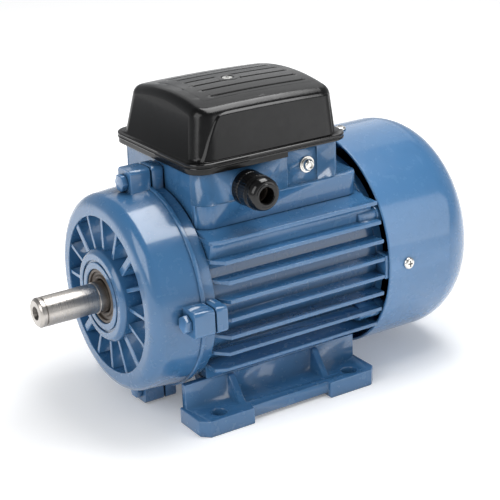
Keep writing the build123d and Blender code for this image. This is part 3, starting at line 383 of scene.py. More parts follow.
# Materials: each takes its tones, its roughness from low to high, and the strength of its grain
def blue_paint(name, tone, peel, mottle):
    s = Shader(name)
    patches = s.span(s.noise(26.0, 4.0), 0, 1)
    colour = s.mix(patches, scaled(tone, 1 - mottle), scaled(tone, 1 + mottle))
    # Painted shade: the paint darkens towards a fifth of its tone in creases, between fins and under
    # overhangs
    colour = s.mix(s.span(s.crevice_shade(6 * mm), 0.8, 0, 0.1, 0.8), colour, scaled(tone, 0.2))
    # Painted highlight, partly standing for worn paint: convex edges are lighter than the tone
    colour = s.mix(s.edges(0.53, 0.64), colour, scaled(tone, 1.25, 0.03))
    roughness = s.span(s.noise(170.0, 4.0), 0.2, 0.3)
    cast = s.bump(s.noise(90.0, 1.0), peel * 0.15, 0.2 * mm)
    normal = s.bump(s.noise(1100.0, 1.0), peel * 0.35, 0.05 * mm, cast)
    s.set(Specular_IOR_Level=0.4, Coat_Weight=0.75, Coat_Roughness=0.09, Coat_IOR=1.5)
    return s.wire(colour, roughness, normal)


def black_plastic(name, grain, low, high, gloss):
    s = Shader(name)
    patches = s.span(s.noise(45.0, 5.0), 0, 1)
    colour = s.mix(patches, (0.0025, 0.0025, 0.0027), (0.0045, 0.0045, 0.0048))
    roughness = s.span(s.noise(260.0, 3.0), low, high)
    normal = s.bump(s.noise(2100.0, 2.0), grain, 0.1 * mm)
    s.set(Specular_IOR_Level=gloss)
    return s.wire(colour, roughness, normal)


def turned_steel(name):
    s = Shader(name)
    rings = s.noise(1.0, 3.0, 0.6, s.stretched((3000.0, 25.0, 25.0)))
    stain = s.span(s.noise(45.0, 4.0), 0, 1)
    colour = s.mix(stain, (0.55, 0.525, 0.495), (0.44, 0.41, 0.38))
    # Painted shade: the steel darkens to a dark brown in creases and hollows such as the shoulder
    colour = s.mix(s.span(s.crevice_shade(2 * mm), 0.7, 0, 0.1, 0.7), colour, (0.06, 0.048, 0.04))
    roughness = s.span(rings, 0.24, 0.38)
    normal = s.bump(rings, 0.06, 0.03 * mm)
    s.set(Metallic=1.0, Anisotropic=0.3)
    return s.wire(colour, roughness, normal)


def plated(name, bright, dull, low, high):
    s = Shader(name)
    colour = s.mix(s.span(s.noise(260.0, 4.0), 0, 1), bright, dull)
    # Painted shade: the metal darkens in recesses such as the screws' cross recesses
    colour = s.mix(s.span(s.crevice_shade(1.2 * mm), 0.85, 0, 0.1, 0.7), colour, scaled(dull, 0.12))
    roughness = s.span(s.noise(800.0, 3.0), low, high)
    normal = s.bump(s.noise(1600.0, 2.0), 0.07, 0.06 * mm)
    s.set(Metallic=1.0)
    return s.wire(colour, roughness, normal)


def striped(name, first, second, factors, low, high, metal):
    s = Shader(name)
    lines = s.noise(1.0, 2.0, 0.5, s.stretched(factors))
    colour = s.mix(s.span(lines, 0, 1), first, second)
    roughness = s.span(s.noise(180.0, 3.0), low, high)
    normal = s.bump(lines, 0.3, 0.2 * mm)
    s.set(Metallic=metal)
    return s.wire(colour, roughness, normal)


def matt(name, first, second, low, high, grain):
    s = Shader(name)
    colour = s.mix(s.span(s.noise(90.0, 5.0), 0, 1), first, second)
    # Painted shade: the colour darkens in creases and recesses
    colour = s.mix(s.span(s.crevice_shade(3 * mm), 0.8, 0, 0.1, 0.8), colour, scaled(first, 0.2))
    roughness = s.span(s.noise(260.0, 3.0), low, high)
    normal = s.bump(s.noise(1300.0, 3.0), grain, 0.15 * mm)
    return s.wire(colour, roughness, normal)


paint_tone = (0.043, 0.14, 0.292)
sheet_grain = (2600, 30, 30)
wire_grain = (40, 900, 900)
materials = {
    "casting": blue_paint("casting_paint", paint_tone, 0.11, 0.06),
    "sheet": blue_paint("sheet_paint", scaled(paint_tone, 1.08), 0.04, 0.04),
    "cover": black_plastic("cover_plastic", 0.07, 0.17, 0.26, 0.32),
    "gland": black_plastic("gland_plastic", 0.04, 0.1, 0.17, 0.45),
    "shaft": turned_steel("turned_steel"),
    # Painted shade: the thread is far darker than the shaft's own steel
    "thread": plated("thread_steel_painted_shade", (0.16, 0.15, 0.14), (0.06, 0.055, 0.05), 0.3, 0.45),
    "zinc": plated("zinc_steel", (0.8, 0.79, 0.76), (0.62, 0.61, 0.58), 0.16, 0.3),
    "bearing": plated("bearing_steel", (0.66, 0.66, 0.66), (0.5, 0.5, 0.5), 0.12, 0.25),
    "lamination": striped(
        "lamination_steel", (0.3, 0.3, 0.31), (0.14, 0.14, 0.15), sheet_grain, 0.35, 0.5, 0.9),
    "copper": striped(
        "enamelled_copper", (0.42, 0.13, 0.045), (0.22, 0.055, 0.02), wire_grain, 0.2, 0.4, 0.7),
    "rubber": matt("seal_rubber", (0.075, 0.058, 0.046), (0.12, 0.097, 0.08), 0.35, 0.55, 0.15),
    "board": matt("board_plastic", (0.05, 0.02, 0.012), (0.075, 0.03, 0.018), 0.35, 0.5, 0.15),
    "brass": plated("stud_brass", (0.78, 0.55, 0.22), (0.6, 0.4, 0.15), 0.18, 0.35),
    "can": plated("can_aluminium", (0.75, 0.75, 0.76), (0.62, 0.62, 0.63), 0.25, 0.4),
}
slot_looks = {
    "blue_paint": "casting",
    "zinc_steel": "zinc",
    "shaft_steel": "shaft",
    "lamination_steel": "lamination",
    "copper": "copper",
    "bearing_steel": "bearing",
    "rubber": "rubber",
    "black_plastic": "cover",
    "board_plastic": "board",
    "stud_brass": "brass",
    "can_aluminium": "can",
}
node_looks = {node: slot_looks[slot] for node, slot in node_slots.items()}
node_looks["fan_cowl"] = "sheet"
node_looks["gland_body"] = "gland"
node_looks["gland_nut"] = "gland"


def dress_nodes():
    for node, piece in frame["nodes"].items():
        piece.data.materials.clear()
        piece.data.materials.append(materials[node_looks[node]])


# Mesh helpers
def middle_of(node):
    low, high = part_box(node)
    return (Vector(low) + Vector(high)) / 2


def smooth_step(value):
    value = min(1.0, max(0.0, value))
    return value * value * (3 - 2 * value)


def between(points, value):
    for (first, start), (second, end) in zip(points, points[1:]):
        if value <= second:
            return start + (end - start) * max(0.0, (value - first) / (second - first))
    return points[-1][1]


def add_piece(name, shape, look, body, nodes=()):
    mesh = bpy.data.meshes.new(name)
    for face in shape.faces:
        face.smooth = True
    shape.to_mesh(mesh)
    shape.free()
    mesh.set_sharp_from_angle(angle=radians(crease_angle))
    mesh.materials.append(materials[look])
    piece = bpy.data.objects.new(name, mesh)
    scene.collection.objects.link(piece)
    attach(piece, body)
    if nodes:
        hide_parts(*nodes)
    return piece


def turn_to(axis, place):
    spin = Vector((0, 0, 1)).rotation_difference(Vector(axis))
    return Matrix.Translation(place) @ spin.to_matrix().to_4x4()


# A turned shape from points of place along the axis, radius and, on a grip, the depth of its waves
def lathe(shape, profile, axis, place, segments, closed=True):
    seat = turn_to(axis, place)
    rings = []
    for along, radius, *wave in profile:
        if radius < 1e-6:
            rings.append([shape.verts.new(seat @ Vector((0, 0, along * mm)))])
            continue
        ring = []
        for index in range(segments):
            angle = 2 * pi * index / segments
            reach = radius + sum(wave) * cos(grip_waves * angle)
            spot = Vector((reach * cos(angle) * mm, reach * sin(angle) * mm, along * mm))
            ring.append(shape.verts.new(seat @ spot))
        rings.append(ring)
    pairs = list(zip(rings, rings[1:]))
    if closed:
        pairs.append((rings[-1], rings[0]))
    for first, second in pairs:
        if len(first) == 1 and len(second) == 1:
            continue
        for index in range(segments):
            step = (index + 1) % segments
            corners = [first[index % len(first)], first[step % len(first)]]
            corners += [second[step % len(second)], second[index % len(second)]]
            shape.faces.new(list(dict.fromkeys(corners)))
    bmesh.ops.recalc_face_normals(shape, faces=shape.faces)


def carve(shape, cutter):
    pieces = []
    for part in (shape, cutter):
        mesh = bpy.data.meshes.new("carving")
        part.to_mesh(mesh)
        part.free()
        piece = bpy.data.objects.new("carving", mesh)
        scene.collection.objects.link(piece)
        pieces.append(piece)
    body, tool = pieces
    cut = body.modifiers.new("cut", "BOOLEAN")
    cut.operation = "DIFFERENCE"
    cut.solver = "EXACT"
    cut.use_self = True
    cut.object = tool
    result = bmesh.new()
    result.from_object(body, bpy.context.evaluated_depsgraph_get())
    for piece in pieces:
        mesh = piece.data
        bpy.data.objects.remove(piece)
        bpy.data.meshes.remove(mesh)
    return result


def packed_shape(node):
    shape = bmesh.new()
    shape.from_mesh(frame["nodes"][node].data)
    bmesh.ops.remove_doubles(shape, verts=shape.verts, dist=weld_gap * mm)
    bmesh.ops.dissolve_limit(shape, angle_limit=radians(flat_angle), verts=shape.verts, edges=shape.edges)
    bmesh.ops.recalc_face_normals(shape, faces=shape.faces)
    return shape


# Soft edges: each sharp edge gets the width that its two faces have room for
def room_beside(edge, face):
    start, end = (vert.co for vert in edge.verts)
    middle = (start + end) / 2
    along = (end - start).normalized()
    room = free_room * mm
    for other in face.edges:
        if other is edge:
            continue
        near, far = (vert.co for vert in other.verts)
        aligned = abs((far - near).normalized().dot(along))
        gap = (near + far) / 2 - middle
        beside = (gap - along * gap.dot(along)).length
        if aligned > in_line_turn and beside < in_line_offset * gap.length:
            continue
        shared = set(other.verts) & set(edge.verts)
        if shared:
            reach = other.calc_length() * sqrt(max(0.0, 1 - aligned ** 2))
            room = min(room, room_share * reach)
            continue
        ends = ((near, start, end), (far, start, end), (start, near, far), (end, near, far))
        for point, first, second in ends:
            _, share = intersect_point_line(point, first, second)
            foot = first.lerp(second, min(1.0, max(0.0, share)))
            room = min(room, room_share * (point - foot).length)
    return room


def soft_weights(shape, width):
    weights = shape.edges.layers.float.new("bevel_weight_edge")
    sharp = []
    for edge in shape.edges:
        if edge.is_convex and edge.calc_face_angle(0.0) > radians(soft_angle):
            room = min(room_beside(edge, face) for face in edge.link_faces)
            edge[weights] = min(1.0, room / width)
            sharp.append(edge)
    for _ in range(weight_passes):
        for edge in sharp:
            around = [other[weights] for vert in edge.verts for other in vert.link_edges]
            beside = [weight for weight in around if weight > 0]
            edge[weights] = min(edge[weights], weight_growth * min(beside, default=1.0))
    for edge in sharp:
        if edge[weights] < least_weight:
            edge[weights] = 0.0
            edge.smooth = False


def soften(name, shape, width, look, body, nodes):
    soft_weights(shape, width)
    mesh = bpy.data.meshes.new(name)
    for face in shape.faces:
        face.smooth = True
    shape.to_mesh(mesh)
    shape.free()
    mesh.materials.append(materials[look])
    piece = bpy.data.objects.new(name, mesh)
    scene.collection.objects.link(piece)
    bevel = piece.modifiers.new("soft_edges", "BEVEL")
    bevel.width = width
    bevel.segments = soft_segments
    bevel.limit_method = "WEIGHT"
    bevel.use_clamp_overlap = False
    bevel.harden_normals = True
    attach(piece, body)
    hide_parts(*nodes)
    return piece


# Flat faces of many corners that would be split wrongly become sound triangles here
def flat_triangles(spots, corners, normal):
    side = normal.orthogonal().normalized()
    rise = normal.cross(side)
    middle = spots[corners[0]]
    flat = []
    for corner in corners:
        reach = spots[corner] - middle
        flat.append(Vector((reach.dot(side), reach.dot(rise))) / mm)
    outline = [list(range(len(flat)))]
    points, _, triangles, sources, _, _ = delaunay_2d_cdt(flat, [], outline, 1, merge_gap)
    names = []
    for point, source in zip(points, sources):
        if source:
            names.append(corners[source[0]])
        else:
            names.append(len(spots))
            spots.append(middle + (side * point.x + rise * point.y) * mm)
    return [[names[k] for k in triangle] for triangle in triangles]


def bake(piece):
    mesh = bpy.data.meshes.new_from_object(piece.evaluated_get(bpy.context.evaluated_depsgraph_get()))
    mesh.calc_loop_triangles()
    areas = [0.0] * len(mesh.polygons)
    for triangle in mesh.loop_triangles:
        areas[triangle.polygon_index] += triangle.area
    spots = [vert.co.copy() for vert in mesh.vertices]
    faces = []
    normals = []
    for polygon, area in zip(mesh.polygons, areas):
        corners = list(polygon.vertices)
        if len(corners) > 4 and abs(area - polygon.area) > area_error * polygon.area:
            for triangle in flat_triangles(spots, corners, polygon.normal):
                faces.append(triangle)
                normals += [polygon.normal.copy()] * 3
        else:
            faces.append(corners)
            normals += [mesh.corner_normals[loop].vector.copy() for loop in polygon.loop_indices]
    sound = bpy.data.meshes.new(piece.name)
    sound.from_pydata(spots, [], faces)
    sound.shade_smooth()
    sound.normals_split_custom_set(normals)
    sound.materials.append(piece.data.materials[0])
    piece.modifiers.clear()
    piece.data = sound


# Turned faces get one normal all round each circle, so that highlights run clean
def circle_of(spot):
    radius = (spot.y * spot.y + (spot.z - axis_z) ** 2) ** 0.5
    return radius, (round(spot.x * circle_grid), round(radius * circle_grid))


def turn_normals(piece):
    mesh = piece.data
    circles = {}
    slopes = []
    for polygon in mesh.polygons:
        outward = Vector((0, polygon.center.y, polygon.center.z - axis_z)).normalized()
        across = polygon.normal.cross(outward).x
        slope = None
        if abs(across) < turned_error:
            slope = (polygon.normal.x, polygon.normal.dot(outward))
            for index in polygon.vertices:
                _, circle = circle_of(mesh.vertices[index].co)
                circles.setdefault(circle, []).append((slope, polygon.area))
        slopes.append(slope)
    normals = [corner.vector.copy() for corner in mesh.corner_normals]
    for polygon, slope in zip(mesh.polygons, slopes):
        if slope is None:
            continue
        for loop in polygon.loop_indices:
            spot = mesh.vertices[mesh.loops[loop].vertex_index].co
            radius, circle = circle_of(spot)
            along = outward = 0.0
            for (other_along, other_outward), area in circles[circle]:
                if slope[0] * other_along + slope[1] * other_outward > cos(radians(soft_angle)):
                    along += other_along * area
                    outward += other_outward * area
            if radius > least_circle * mm:
                turned = Vector((along, outward * spot.y / radius, outward * (spot.z - axis_z) / radius))
                normals[loop] = turned.normalized()
    mesh.normals_split_custom_set(normals)


def soften_castings():
    for node, width in soft_widths.items():
        shape = packed_shape(node)
        if node == "terminal_box_cover":
            shape = carve(shape, pocket_cutter())
        soft = soften(node + "_soft", shape, width * mm, node_looks[node], "frame", [node])
        bake(soft)
        if node in turned_nodes:
            turn_normals(soft)


# Height of the cover's skin, which is arched lengthwise and crowned across
def cover_skin(x, y):
    drop = cover_arch_radius - sqrt(cover_arch_radius ** 2 - (x - cover_crest_x) ** 2)
    return cover_top - cover_crown_radius + sqrt((cover_crown_radius - drop) ** 2 - y ** 2)


# Pocket in the cover's skin, which the grooved top then fills
def pocket_cutter():
    cutter = bmesh.new()
    length = top_front - top_rear - 2 * top_overlap
    xs = [top_rear + top_overlap + k * length / pocket_steps for k in range(pocket_steps + 1)]
    ys = [(2 * k / pocket_steps - 1) * (top_half - top_overlap) for k in range(pocket_steps + 1)]
    sheets = []
    for rise in (-pocket_depth, pocket_depth):
        sheet = []
        for x in xs:
            sheet.append([cutter.verts.new(Vector((x, y, cover_skin(x, y) + rise)) * mm) for y in ys])
        sheets.append(sheet)
    for sheet in sheets:
        for row, following in zip(sheet, sheet[1:]):
            for k in range(pocket_steps):
                cutter.faces.new((row[k], row[k + 1], following[k + 1], following[k]))
    low, high = sheets
    for k in range(pocket_steps):
        cutter.faces.new((low[0][k], low[0][k + 1], high[0][k + 1], high[0][k]))
        cutter.faces.new((low[-1][k], low[-1][k + 1], high[-1][k + 1], high[-1][k]))
        cutter.faces.new((low[k][0], low[k + 1][0], high[k + 1][0], high[k][0]))
        cutter.faces.new((low[k][-1], low[k + 1][-1], high[k + 1][-1], high[k][-1]))
    bmesh.ops.recalc_face_normals(cutter, faces=cutter.faces)
    return cutter


def groove_sink(x, y, screw):
    ends = smooth_step((groove_front_x - x) / groove_front_run)
    ends *= smooth_step((x - groove_rear_x) / groove_rear_run)
    gap = ((x - screw.x / mm) ** 2 + y ** 2) ** 0.5
    sink = 0.0
    for place in groove_places:
        share = (y - place) / groove_half
        if abs(share) < 1:
            wall = smooth_step((1 - abs(share)) / groove_wall)
            sink += groove_depth * wall * ends * smooth_step((gap - ring_radius) / groove_ring_run)
    return sink


def add_cover_top():
    screw = middle_of("cover_screw")
    xs = [top_rear + k * (top_front - top_rear) / top_steps for k in range(top_steps + 1)]
    ys = {-top_half, top_half}
    for place in groove_places:
        for share in groove_shares:
            ys.update((place - groove_half * share, place + groove_half * share))
        ys.update((place - groove_beside, place + groove_beside))
    ys = sorted(ys)
    shape = bmesh.new()
    rows = []
    for x in xs:
        row = []
        for y in ys:
            z = cover_skin(x, y) + top_lift - groove_sink(x, y, screw)
            row.append(shape.verts.new(Vector((x, y, z)) * mm))
        rows.append(row)
    for row, following in zip(rows, rows[1:]):
        for k in range(len(ys) - 1):
            middle = (row[k].co + following[k + 1].co) / 2
            if (middle - screw).xy.length > (ring_radius - ring_overlap) * mm:
                shape.faces.new((row[k], following[k], following[k + 1], row[k + 1]))
    bmesh.ops.recalc_face_normals(shape, faces=shape.faces)
    if sum(face.normal.z for face in shape.faces) < 0:
        bmesh.ops.reverse_faces(shape, faces=shape.faces)
    add_piece("cover_grooved_top", shape, "cover", "frame")


def add_cover_screw_ring():
    screw = middle_of("cover_screw")
    seat = Vector((screw.x, screw.y, cover_skin(screw.x / mm, 0) * mm))
    profile = [(rise, ring_radius - inset) for rise, inset in ring_rim_curve]
    profile += [(rise, ring_bore_radius + flare) for rise, flare in ring_bore_curve]
    profile += [(-ring_bore_depth, ring_bore_radius - ring_floor_taper)]
    profile += [(-ring_bore_depth, ring_floor_radius)]
    ring = bmesh.new()
    lathe(ring, profile, (0, 0, 1), seat, ring_segments, closed=False)
    if ring.faces[len(ring.faces) // 2].normal.z < 0:
        bmesh.ops.reverse_faces(ring, faces=ring.faces)
    add_piece("cover_screw_ring", ring, "cover", "frame")


# Cowl with the true normals of its turned skin
def add_cowl():
    low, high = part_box("fan_cowl")
    rounding = cowl_rounding * mm
    round_x = low[0] + rounding
    round_radius = (high[1] - low[1]) / 2 - rounding
    shape = packed_shape("fan_cowl")
    bmesh.ops.triangulate(shape, faces=shape.faces)
    mesh = bpy.data.meshes.new("fan_cowl_smooth")
    for face in shape.faces:
        face.smooth = True
    shape.to_mesh(mesh)
    shape.free()
    normals = []
    for polygon in mesh.polygons:
        for index in polygon.vertices:
            x, y, z = mesh.vertices[index].co
            outward = Vector((0, y, z - axis_z))
            along = min(0.0, x - round_x)
            across = max(0.0, outward.length - round_radius) if along < 0 else 1.0
            skin = Vector((along, 0, 0)) + outward.normalized() * across
            skin.normalize()
            facing = skin.dot(polygon.normal)
            if abs(facing) > skin_match:
                normals.append(skin if facing > 0 else -skin)
            else:
                normals.append(polygon.normal.copy())
    mesh.normals_split_custom_set(normals)
    mesh.materials.append(materials["sheet"])
    piece = bpy.data.objects.new("fan_cowl_smooth", mesh)
    scene.collection.objects.link(piece)
    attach(piece, "frame")
    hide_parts("fan_cowl")


# Rolled lip of the cowl
def add_cowl_lip():
    low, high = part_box("fan_cowl")
    middle = (high[1] - low[1]) / 2 / mm - lip_radius
    profile = []
    for step in range(lip_sides):
        angle = 2 * pi * step / lip_sides
        profile.append((lip_radius * sin(angle), middle + lip_radius * cos(angle)))
    lip = bmesh.new()
    lathe(lip, profile, (1, 0, 0), Vector((high[0], 0, axis_z)), lip_segments)
    add_piece("fan_cowl_lip", lip, "sheet", "frame")


# Screws with a crosswise recess
def cross_cutter(shape, axis, place, length):
    seat = turn_to(axis, place)
    for half_x, half_y in ((length / 2, cross_width / 2), (cross_width / 2, length / 2)):
        corners = []
        for rise, share in ((-cross_depth, cross_taper), (cross_above, 1.0)):
            for sign_x, sign_y in ((-1, -1), (1, -1), (1, 1), (-1, 1)):
                spot = Vector((sign_x * half_x * share, sign_y * half_y, rise)) * mm
                corners.append(shape.verts.new(seat @ spot))
        low, high = corners[:4], corners[4:]
        shape.faces.new(low[::-1])
        shape.faces.new(high)
        for index in range(4):
            step = (index + 1) % 4
            shape.faces.new((low[index], low[step], high[step], high[index]))
    bmesh.ops.recalc_face_normals(shape, faces=shape.faces)


def cross_screws(name, node, seats, profile, rise, length):
    heads = bmesh.new()
    for axis, place in seats:
        head = bmesh.new()
        lathe(head, profile, axis, place, screw_segments, closed=False)
        cutter = bmesh.new()
        cross_cutter(cutter, axis, Vector(place) + Vector(axis) * rise * mm, length)
        cut = carve(head, cutter)
        mesh = bpy.data.meshes.new("head")
        cut.to_mesh(mesh)
        cut.free()
        heads.from_mesh(mesh)
        bpy.data.meshes.remove(mesh)
    return add_piece(name, heads, "zinc", "frame", [node])


def add_cowl_screws():
    low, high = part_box("cowl_screws")
    middle = middle_of("cowl_screws")
    reach = (high[1] - low[1]) / 2 - screw_head_rise * mm
    seats = []
    for axis in (Vector((0, 1, 0)), Vector((0, -1, 0)), Vector((0, 0, 1)), Vector((0, 0, -1))):
        seats.append((axis, middle + axis * reach))
    profile = [(-screw_shank, 0), (-screw_shank, screw_shank_radius), (0, screw_shank_radius)]
    profile += [(screw_head_rise * up, screw_head_radius * out) for up, out in pan_curve]
    cross_screws("cowl_screw_heads", "cowl_screws", seats, profile, screw_head_rise, cross_length)


def add_cover_screw():
    low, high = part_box("cover_screw")
    seat = middle_of("cover_screw")
    seat.z = high[2] - cover_screw_head_rise * mm
    shank = (seat.z - low[2]) / mm
    face = cover_screw_head_rise + cover_screw_proud
    profile = [(-shank, 0), (-shank, screw_shank_radius), (0, screw_shank_radius)]
    profile += [(0, cover_screw_head_radius)]
    profile += [(face - drop, cover_screw_head_radius - inset) for drop, inset in cover_head_rounding]
    profile += [(face, 0)]
    seats = [(Vector((0, 0, 1)), seat)]
    cross_screws("cover_screw_head", "cover_screw", seats, profile, face, cross_length * cover_cross_share)


def add_earth_screw():
    low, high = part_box("earth_screw")
    seat = middle_of("earth_screw")
    seat.y = high[1] - earth_head_rise * mm
    shank = (seat.y - low[1]) / mm
    profile = [(-shank, 0), (-shank, earth_shank_radius), (0, earth_shank_radius)]
    profile += [(0, earth_head_radius), (earth_collar_rise, earth_head_radius), *earth_head_curve]
    shape = bmesh.new()
    lathe(shape, profile, (0, 1, 0), seat, screw_segments, closed=False)
    add_piece("earth_screw_head", shape, "zinc", "frame", ["earth_screw"])


# Cable gland: the nut with its grip, rings and dome, and the body with its ribbed collar
def nut_profile():
    points = [(0, nut_neck_bore), (0, nut_outer - nut_edge)]
    points += [(nut_edge, nut_outer, grip_depth), (nut_grip_end, nut_outer, grip_depth)]
    points += [(nut_grip_end + nut_grip_fall, nut_outer - nut_step)]
    for ring in nut_rings:
        points += [(ring, nut_outer - nut_step), (ring + nut_ring_lead, nut_outer)]
        points += [(ring + (nut_ring_width - nut_ring_lead), nut_outer)]
        points += [(ring + nut_ring_width, nut_outer - nut_step)]
    for step in range(nut_dome_steps + 1):
        angle = pi / 2 * step / nut_dome_steps
        along = nut_dome_start + (nut_length - nut_step - nut_dome_start) * sin(angle)
        fall = (nut_outer - nut_dome_inset - nut_mouth) * cos(angle) ** nut_dome_power
        points.append((along, nut_mouth + fall))
    points += [(nut_length, nut_mouth - nut_step), (nut_length, nut_mouth_bore + nut_mouth_flare)]
    points += [(nut_length - nut_mouth_lead, nut_mouth_bore), (nut_length - nut_mouth_depth, nut_mouth_bore)]
    points += [(nut_neck_depth, nut_neck_bore)]
    return points


def add_gland_nut():
    seat = middle_of("gland_nut")
    seat.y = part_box("gland_nut")[0][1]
    shape = bmesh.new()
    lathe(shape, nut_profile(), (0, 1, 0), seat, gland_segments)
    add_piece("gland_nut_turned", shape, "gland", "frame", ["gland_nut"])


def add_gland_body():
    low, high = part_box("gland_body")
    seat = middle_of("gland_body")
    seat.y = high[1]
    inner_end = (low[1] - high[1]) / mm
    profile = [(inner_end, collar_bore), (inner_end, collar_thread), (collar_start, collar_thread)]
    profile += [(collar_start, collar_outer - collar_edge), (collar_start + collar_edge, collar_outer)]
    profile += [(collar_grip_start, collar_outer, grip_depth)]
    profile += [(collar_grip_end, collar_outer - collar_taper, grip_depth)]
    profile += [(collar_end - collar_taper, collar_outer - collar_edge)]
    profile += [(collar_end, collar_outer - 2 * collar_edge)]
    profile += [(collar_end, collar_neck), (0, collar_neck), (0, collar_bore)]
    shape = bmesh.new()
    lathe(shape, profile, (0, 1, 0), seat, gland_segments)
    add_piece("gland_body_turned", shape, "gland", "frame", ["gland_body"])


def add_shaft_seal():
    seat = middle_of("shaft_seal")
    seat.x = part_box("shaft_seal")[0][0]
    shape = bmesh.new()
    lathe(shape, seal_profile, (1, 0, 0), seat, seal_segments)
    add_piece("shaft_seal_turned", shape, "rubber", "frame", ["shaft_seal"])


# A place on the shaft's axis, at a distance behind its tip
def behind_tip(setback):
    middle = middle_of("shaft_seal")
    return Vector((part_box("shaft")[1][0] - setback * mm, middle.y, middle.z))


# Shaft with a turned groove behind its chamfer
def add_shaft():
    half = shaft_groove_width / 2
    floor = shaft_radius - shaft_groove_depth
    edge = shaft_radius + shaft_cutter_rise
    outside = shaft_radius + shaft_cutter_reach
    profile = [(-half, edge), (-half / 2, floor), (half / 2, floor), (half, edge)]
    profile += [(shaft_cutter_half, outside), (-shaft_cutter_half, outside)]
    cutter = bmesh.new()
    lathe(cutter, profile, (1, 0, 0), behind_tip(shaft_groove_setback), shaft_segments)
    shape = carve(packed_shape("shaft"), cutter)
    width = shaft_soft_width * mm
    piece = soften("shaft_soft", shape, width, "shaft", "rotor", ["shaft"])
    bake(piece)
    turn_normals(piece)


# Thread in the shaft's end, and the mouth before it, in dark steel that paints the shade inside the hole
def add_shaft_thread():
    profile = [(0, thread_radius)]
    for turn in range(thread_turns):
        profile.append(((turn + 0.5) * thread_pitch, thread_radius - thread_depth))
        profile.append(((turn + 1.0) * thread_pitch, thread_radius))
    profile += [(thread_turns + thread_lead, thread_radius)]
    profile += [(thread_turns + thread_mouth_end, thread_mouth_radius)]
    seat = behind_tip((thread_turns + thread_setback) * thread_pitch)
    shape = bmesh.new()
    lathe(shape, profile, (1, 0, 0), seat, thread_segments, closed=False)
    add_piece("shaft_end_thread", shape, "thread", "rotor")


# Raised side panels of the cover, laid on its leaning walls
def add_panel(name, side):
    cover = packed_shape("terminal_box_cover")
    wall = BVHTree.FromBMesh(cover)
    cover.free()
    shares = list(panel_front_shares)
    for step in range(1, panel_middle_steps + 1):
        shares.append(panel_front_shares[-1] + panel_middle_share * step / panel_middle_steps)
    shares += panel_rear_shares
    levels = [k / panel_low_steps for k in range(panel_low_levels)] + panel_high_levels
    outward = Vector((0, side * cos(panel_lean), sin(panel_lean)))
    shape = bmesh.new()
    rows = []
    for level in levels:
        row = []
        for share in shares:
            z = panel_low + level * (between(panel_top, 0.0) - panel_low)
            front = between(panel_front, z)
            x = front + share * (panel_rear - front)
            top = between(panel_top, x)
            z = panel_low + level * (top - panel_low)
            front = between(panel_front, z)
            x = front + share * (panel_rear - front)
            spot, _, _, _ = wall.ray_cast(Vector((x, side * panel_outside, z)) * mm, Vector((0, -side, 0)))
            rise = smooth_step((front - x) / panel_edge) * smooth_step((top - z) / panel_edge)
            rise *= smooth_step((x - panel_rear) / panel_edge)
            row.append(shape.verts.new(spot + outward * (panel_rise * rise - panel_sink) * mm))
        rows.append(row)
    for lower, upper in zip(rows, rows[1:]):
        for index in range(len(shares) - 1):
            shape.faces.new((lower[index], lower[index + 1], upper[index + 1], upper[index]))
    bmesh.ops.recalc_face_normals(shape, faces=shape.faces)
    if shape.faces[0].normal.y * side < 0:
        bmesh.ops.reverse_faces(shape, faces=shape.faces)
    add_piece(name, shape, "cover", "frame")


# Points round the flange, each with its outward direction
def rounded_outline(half_x, half_y, middle):
    points = []
    for quarter, (sign_x, sign_y) in enumerate(((1, 1), (-1, 1), (-1, -1), (1, -1))):
        for step in range(flange_corner_steps + 1):
            angle = pi / 2 * (quarter + step / flange_corner_steps)
            x = middle.x / mm + sign_x * (half_x - flange_corner) + flange_corner * cos(angle)
            y = middle.y / mm + sign_y * (half_y - flange_corner) + flange_corner * sin(angle)
            points.append((Vector((x, y, 0)), Vector((cos(angle), sin(angle), 0))))
    return points


def add_bead(name, level):
    low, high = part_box("terminal_box_cover")
    half_x = (high[0] - low[0]) / 2 / mm
    half_y = (high[1] - low[1]) / 2 / mm
    shape = bmesh.new()
    rings = []
    for spot, outward in rounded_outline(half_x, half_y, middle_of("terminal_box_cover")):
        ring = []
        for side in range(bead_sides):
            angle = 2 * pi * side / bead_sides
            place = spot + outward * (bead_radius * cos(angle) - bead_sink)
            place.z = low[2] / mm + level + bead_radius * sin(angle)
            ring.append(shape.verts.new(place * mm))
        rings.append(ring)
    for first, second in zip(rings, rings[1:] + rings[:1]):
        for index in range(bead_sides):
            step = (index + 1) % bead_sides
            shape.faces.new((first[index], first[step], second[step], second[index]))
    bmesh.ops.recalc_face_normals(shape, faces=shape.faces)
    add_piece(name, shape, "gland", "frame")


def add_camera():
    back = Vector((
        sin(view_azimuth) * cos(view_elevation),
        -cos(view_azimuth) * cos(view_elevation),
        sin(view_elevation),
    ))
    level = Vector((cos(view_azimuth), sin(view_azimuth), 0))
    upright = back.cross(level)
    right = level * cos(view_roll) + upright * sin(view_roll)
    up = upright * cos(view_roll) - level * sin(view_roll)
    eye = view_target + right * view_side_step + up * view_rise + back * view_distance
    data = bpy.data.cameras.new("photo_view")
    data.lens = view_lens
    data.clip_start = view_near
    camera = bpy.data.objects.new("photo_view", data)
    turn = Matrix((right, up, back)).transposed().to_4x4()
    camera.matrix_world = Matrix.Translation(eye) @ turn
    scene.collection.objects.link(camera)
    scene.camera = camera
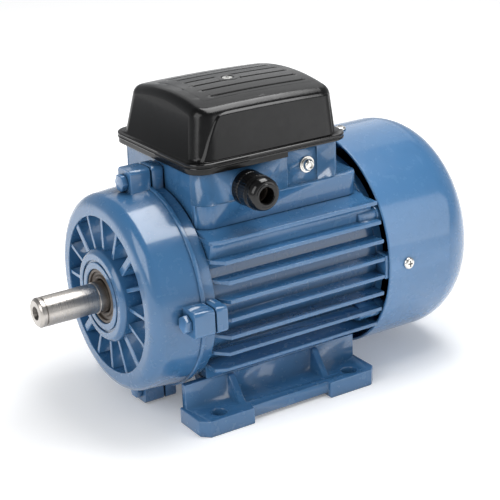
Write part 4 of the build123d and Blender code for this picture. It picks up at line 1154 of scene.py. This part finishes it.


# Pale floor that glows softly, with a painted shadow: the glow is lower in an ellipse under the object
def add_floor():
    mesh = bpy.data.meshes.new("floor")
    signs = ((-1, -1), (1, -1), (1, 1), (-1, 1))
    corners = [(x * floor_half, y * floor_half, cad_box[0][2]) for x, y in signs]
    mesh.from_pydata(corners, [], [(0, 1, 2, 3)])
    floor = bpy.data.objects.new("floor", mesh)
    scene.collection.objects.link(floor)
    s = Shader("pale_floor")
    colour = s.mix(s.span(s.noise(3.0, 2.0), 0, 1), (0.9, 0.9, 0.9), (0.93, 0.93, 0.93))
    roughness = s.span(s.noise(40.0, 2.0), 0.6, 0.75)
    s.set(Specular_IOR_Level=0.15, Emission_Color=(1, 1, 1, 1))
    # Painted shadow: the emission rises from shade_glow near the object to floor_glow further off
    spread = s.node("ShaderNodeVectorMath", operation="MULTIPLY_ADD")
    s.feed(spread.inputs[0], s.place)
    s.feed(spread.inputs[1], (1 / shade_half_length, 1 / shade_half_width, 0))
    s.feed(spread.inputs[2], shade_shift)
    reach = s.node("ShaderNodeVectorMath", operation="LENGTH")
    s.feed(reach.inputs[0], spread.outputs["Vector"])
    glow = s.span(reach.outputs["Value"], shade_glow, floor_glow, shade_start, shade_end)
    s.feed(s.surface.inputs["Emission Strength"], glow)
    mesh.materials.append(s.wire(colour, roughness, s.bump(s.noise(400.0, 2.0), 0.02, 0.1 * mm)))


def add_surroundings():
    world = bpy.data.worlds.new("studio")
    world.use_nodes = True
    nodes = world.node_tree.nodes
    links = world.node_tree.links
    background = nodes["Background"]
    direction = nodes.new("ShaderNodeTexCoord")
    split = nodes.new("ShaderNodeSeparateXYZ")
    ramp = nodes.new("ShaderNodeMapRange")
    ramp.inputs["From Min"].default_value = 0.0
    ramp.inputs["From Max"].default_value = sky_reach
    ramp.inputs["To Min"].default_value = sky_low
    ramp.inputs["To Max"].default_value = sky_high
    links.new(direction.outputs["Generated"], split.inputs["Vector"])
    links.new(split.outputs["Z"], ramp.inputs["Value"])
    links.new(ramp.outputs["Result"], background.inputs["Strength"])
    background.inputs["Color"].default_value = sky_tone
    scene.world = world


def add_softbox(name, place, target, width, height, power):
    data = bpy.data.lights.new(name, "AREA")
    data.shape = "RECTANGLE"
    data.size = width
    data.size_y = height
    data.energy = power
    light = bpy.data.objects.new(name, data)
    light.location = place
    light.rotation_euler = (Vector(target) - Vector(place)).to_track_quat("-Z", "Z").to_euler()
    scene.collection.objects.link(light)


dress_nodes()
soften_castings()
add_cover_top()
add_cover_screw_ring()
add_cowl()
add_cowl_lip()
add_cowl_screws()
add_cover_screw()
add_earth_screw()
add_gland_nut()
add_gland_body()
add_shaft_seal()
add_shaft()
add_shaft_thread()
for panel_name, panel_side in panel_sides.items():
    add_panel(panel_name, panel_side)
for bead_name, bead_level in bead_levels.items():
    add_bead(bead_name, bead_level)

add_camera()
add_floor()
add_surroundings()
for softbox in softboxes:
    add_softbox(*softbox)
scene.view_settings.view_transform = "Standard"
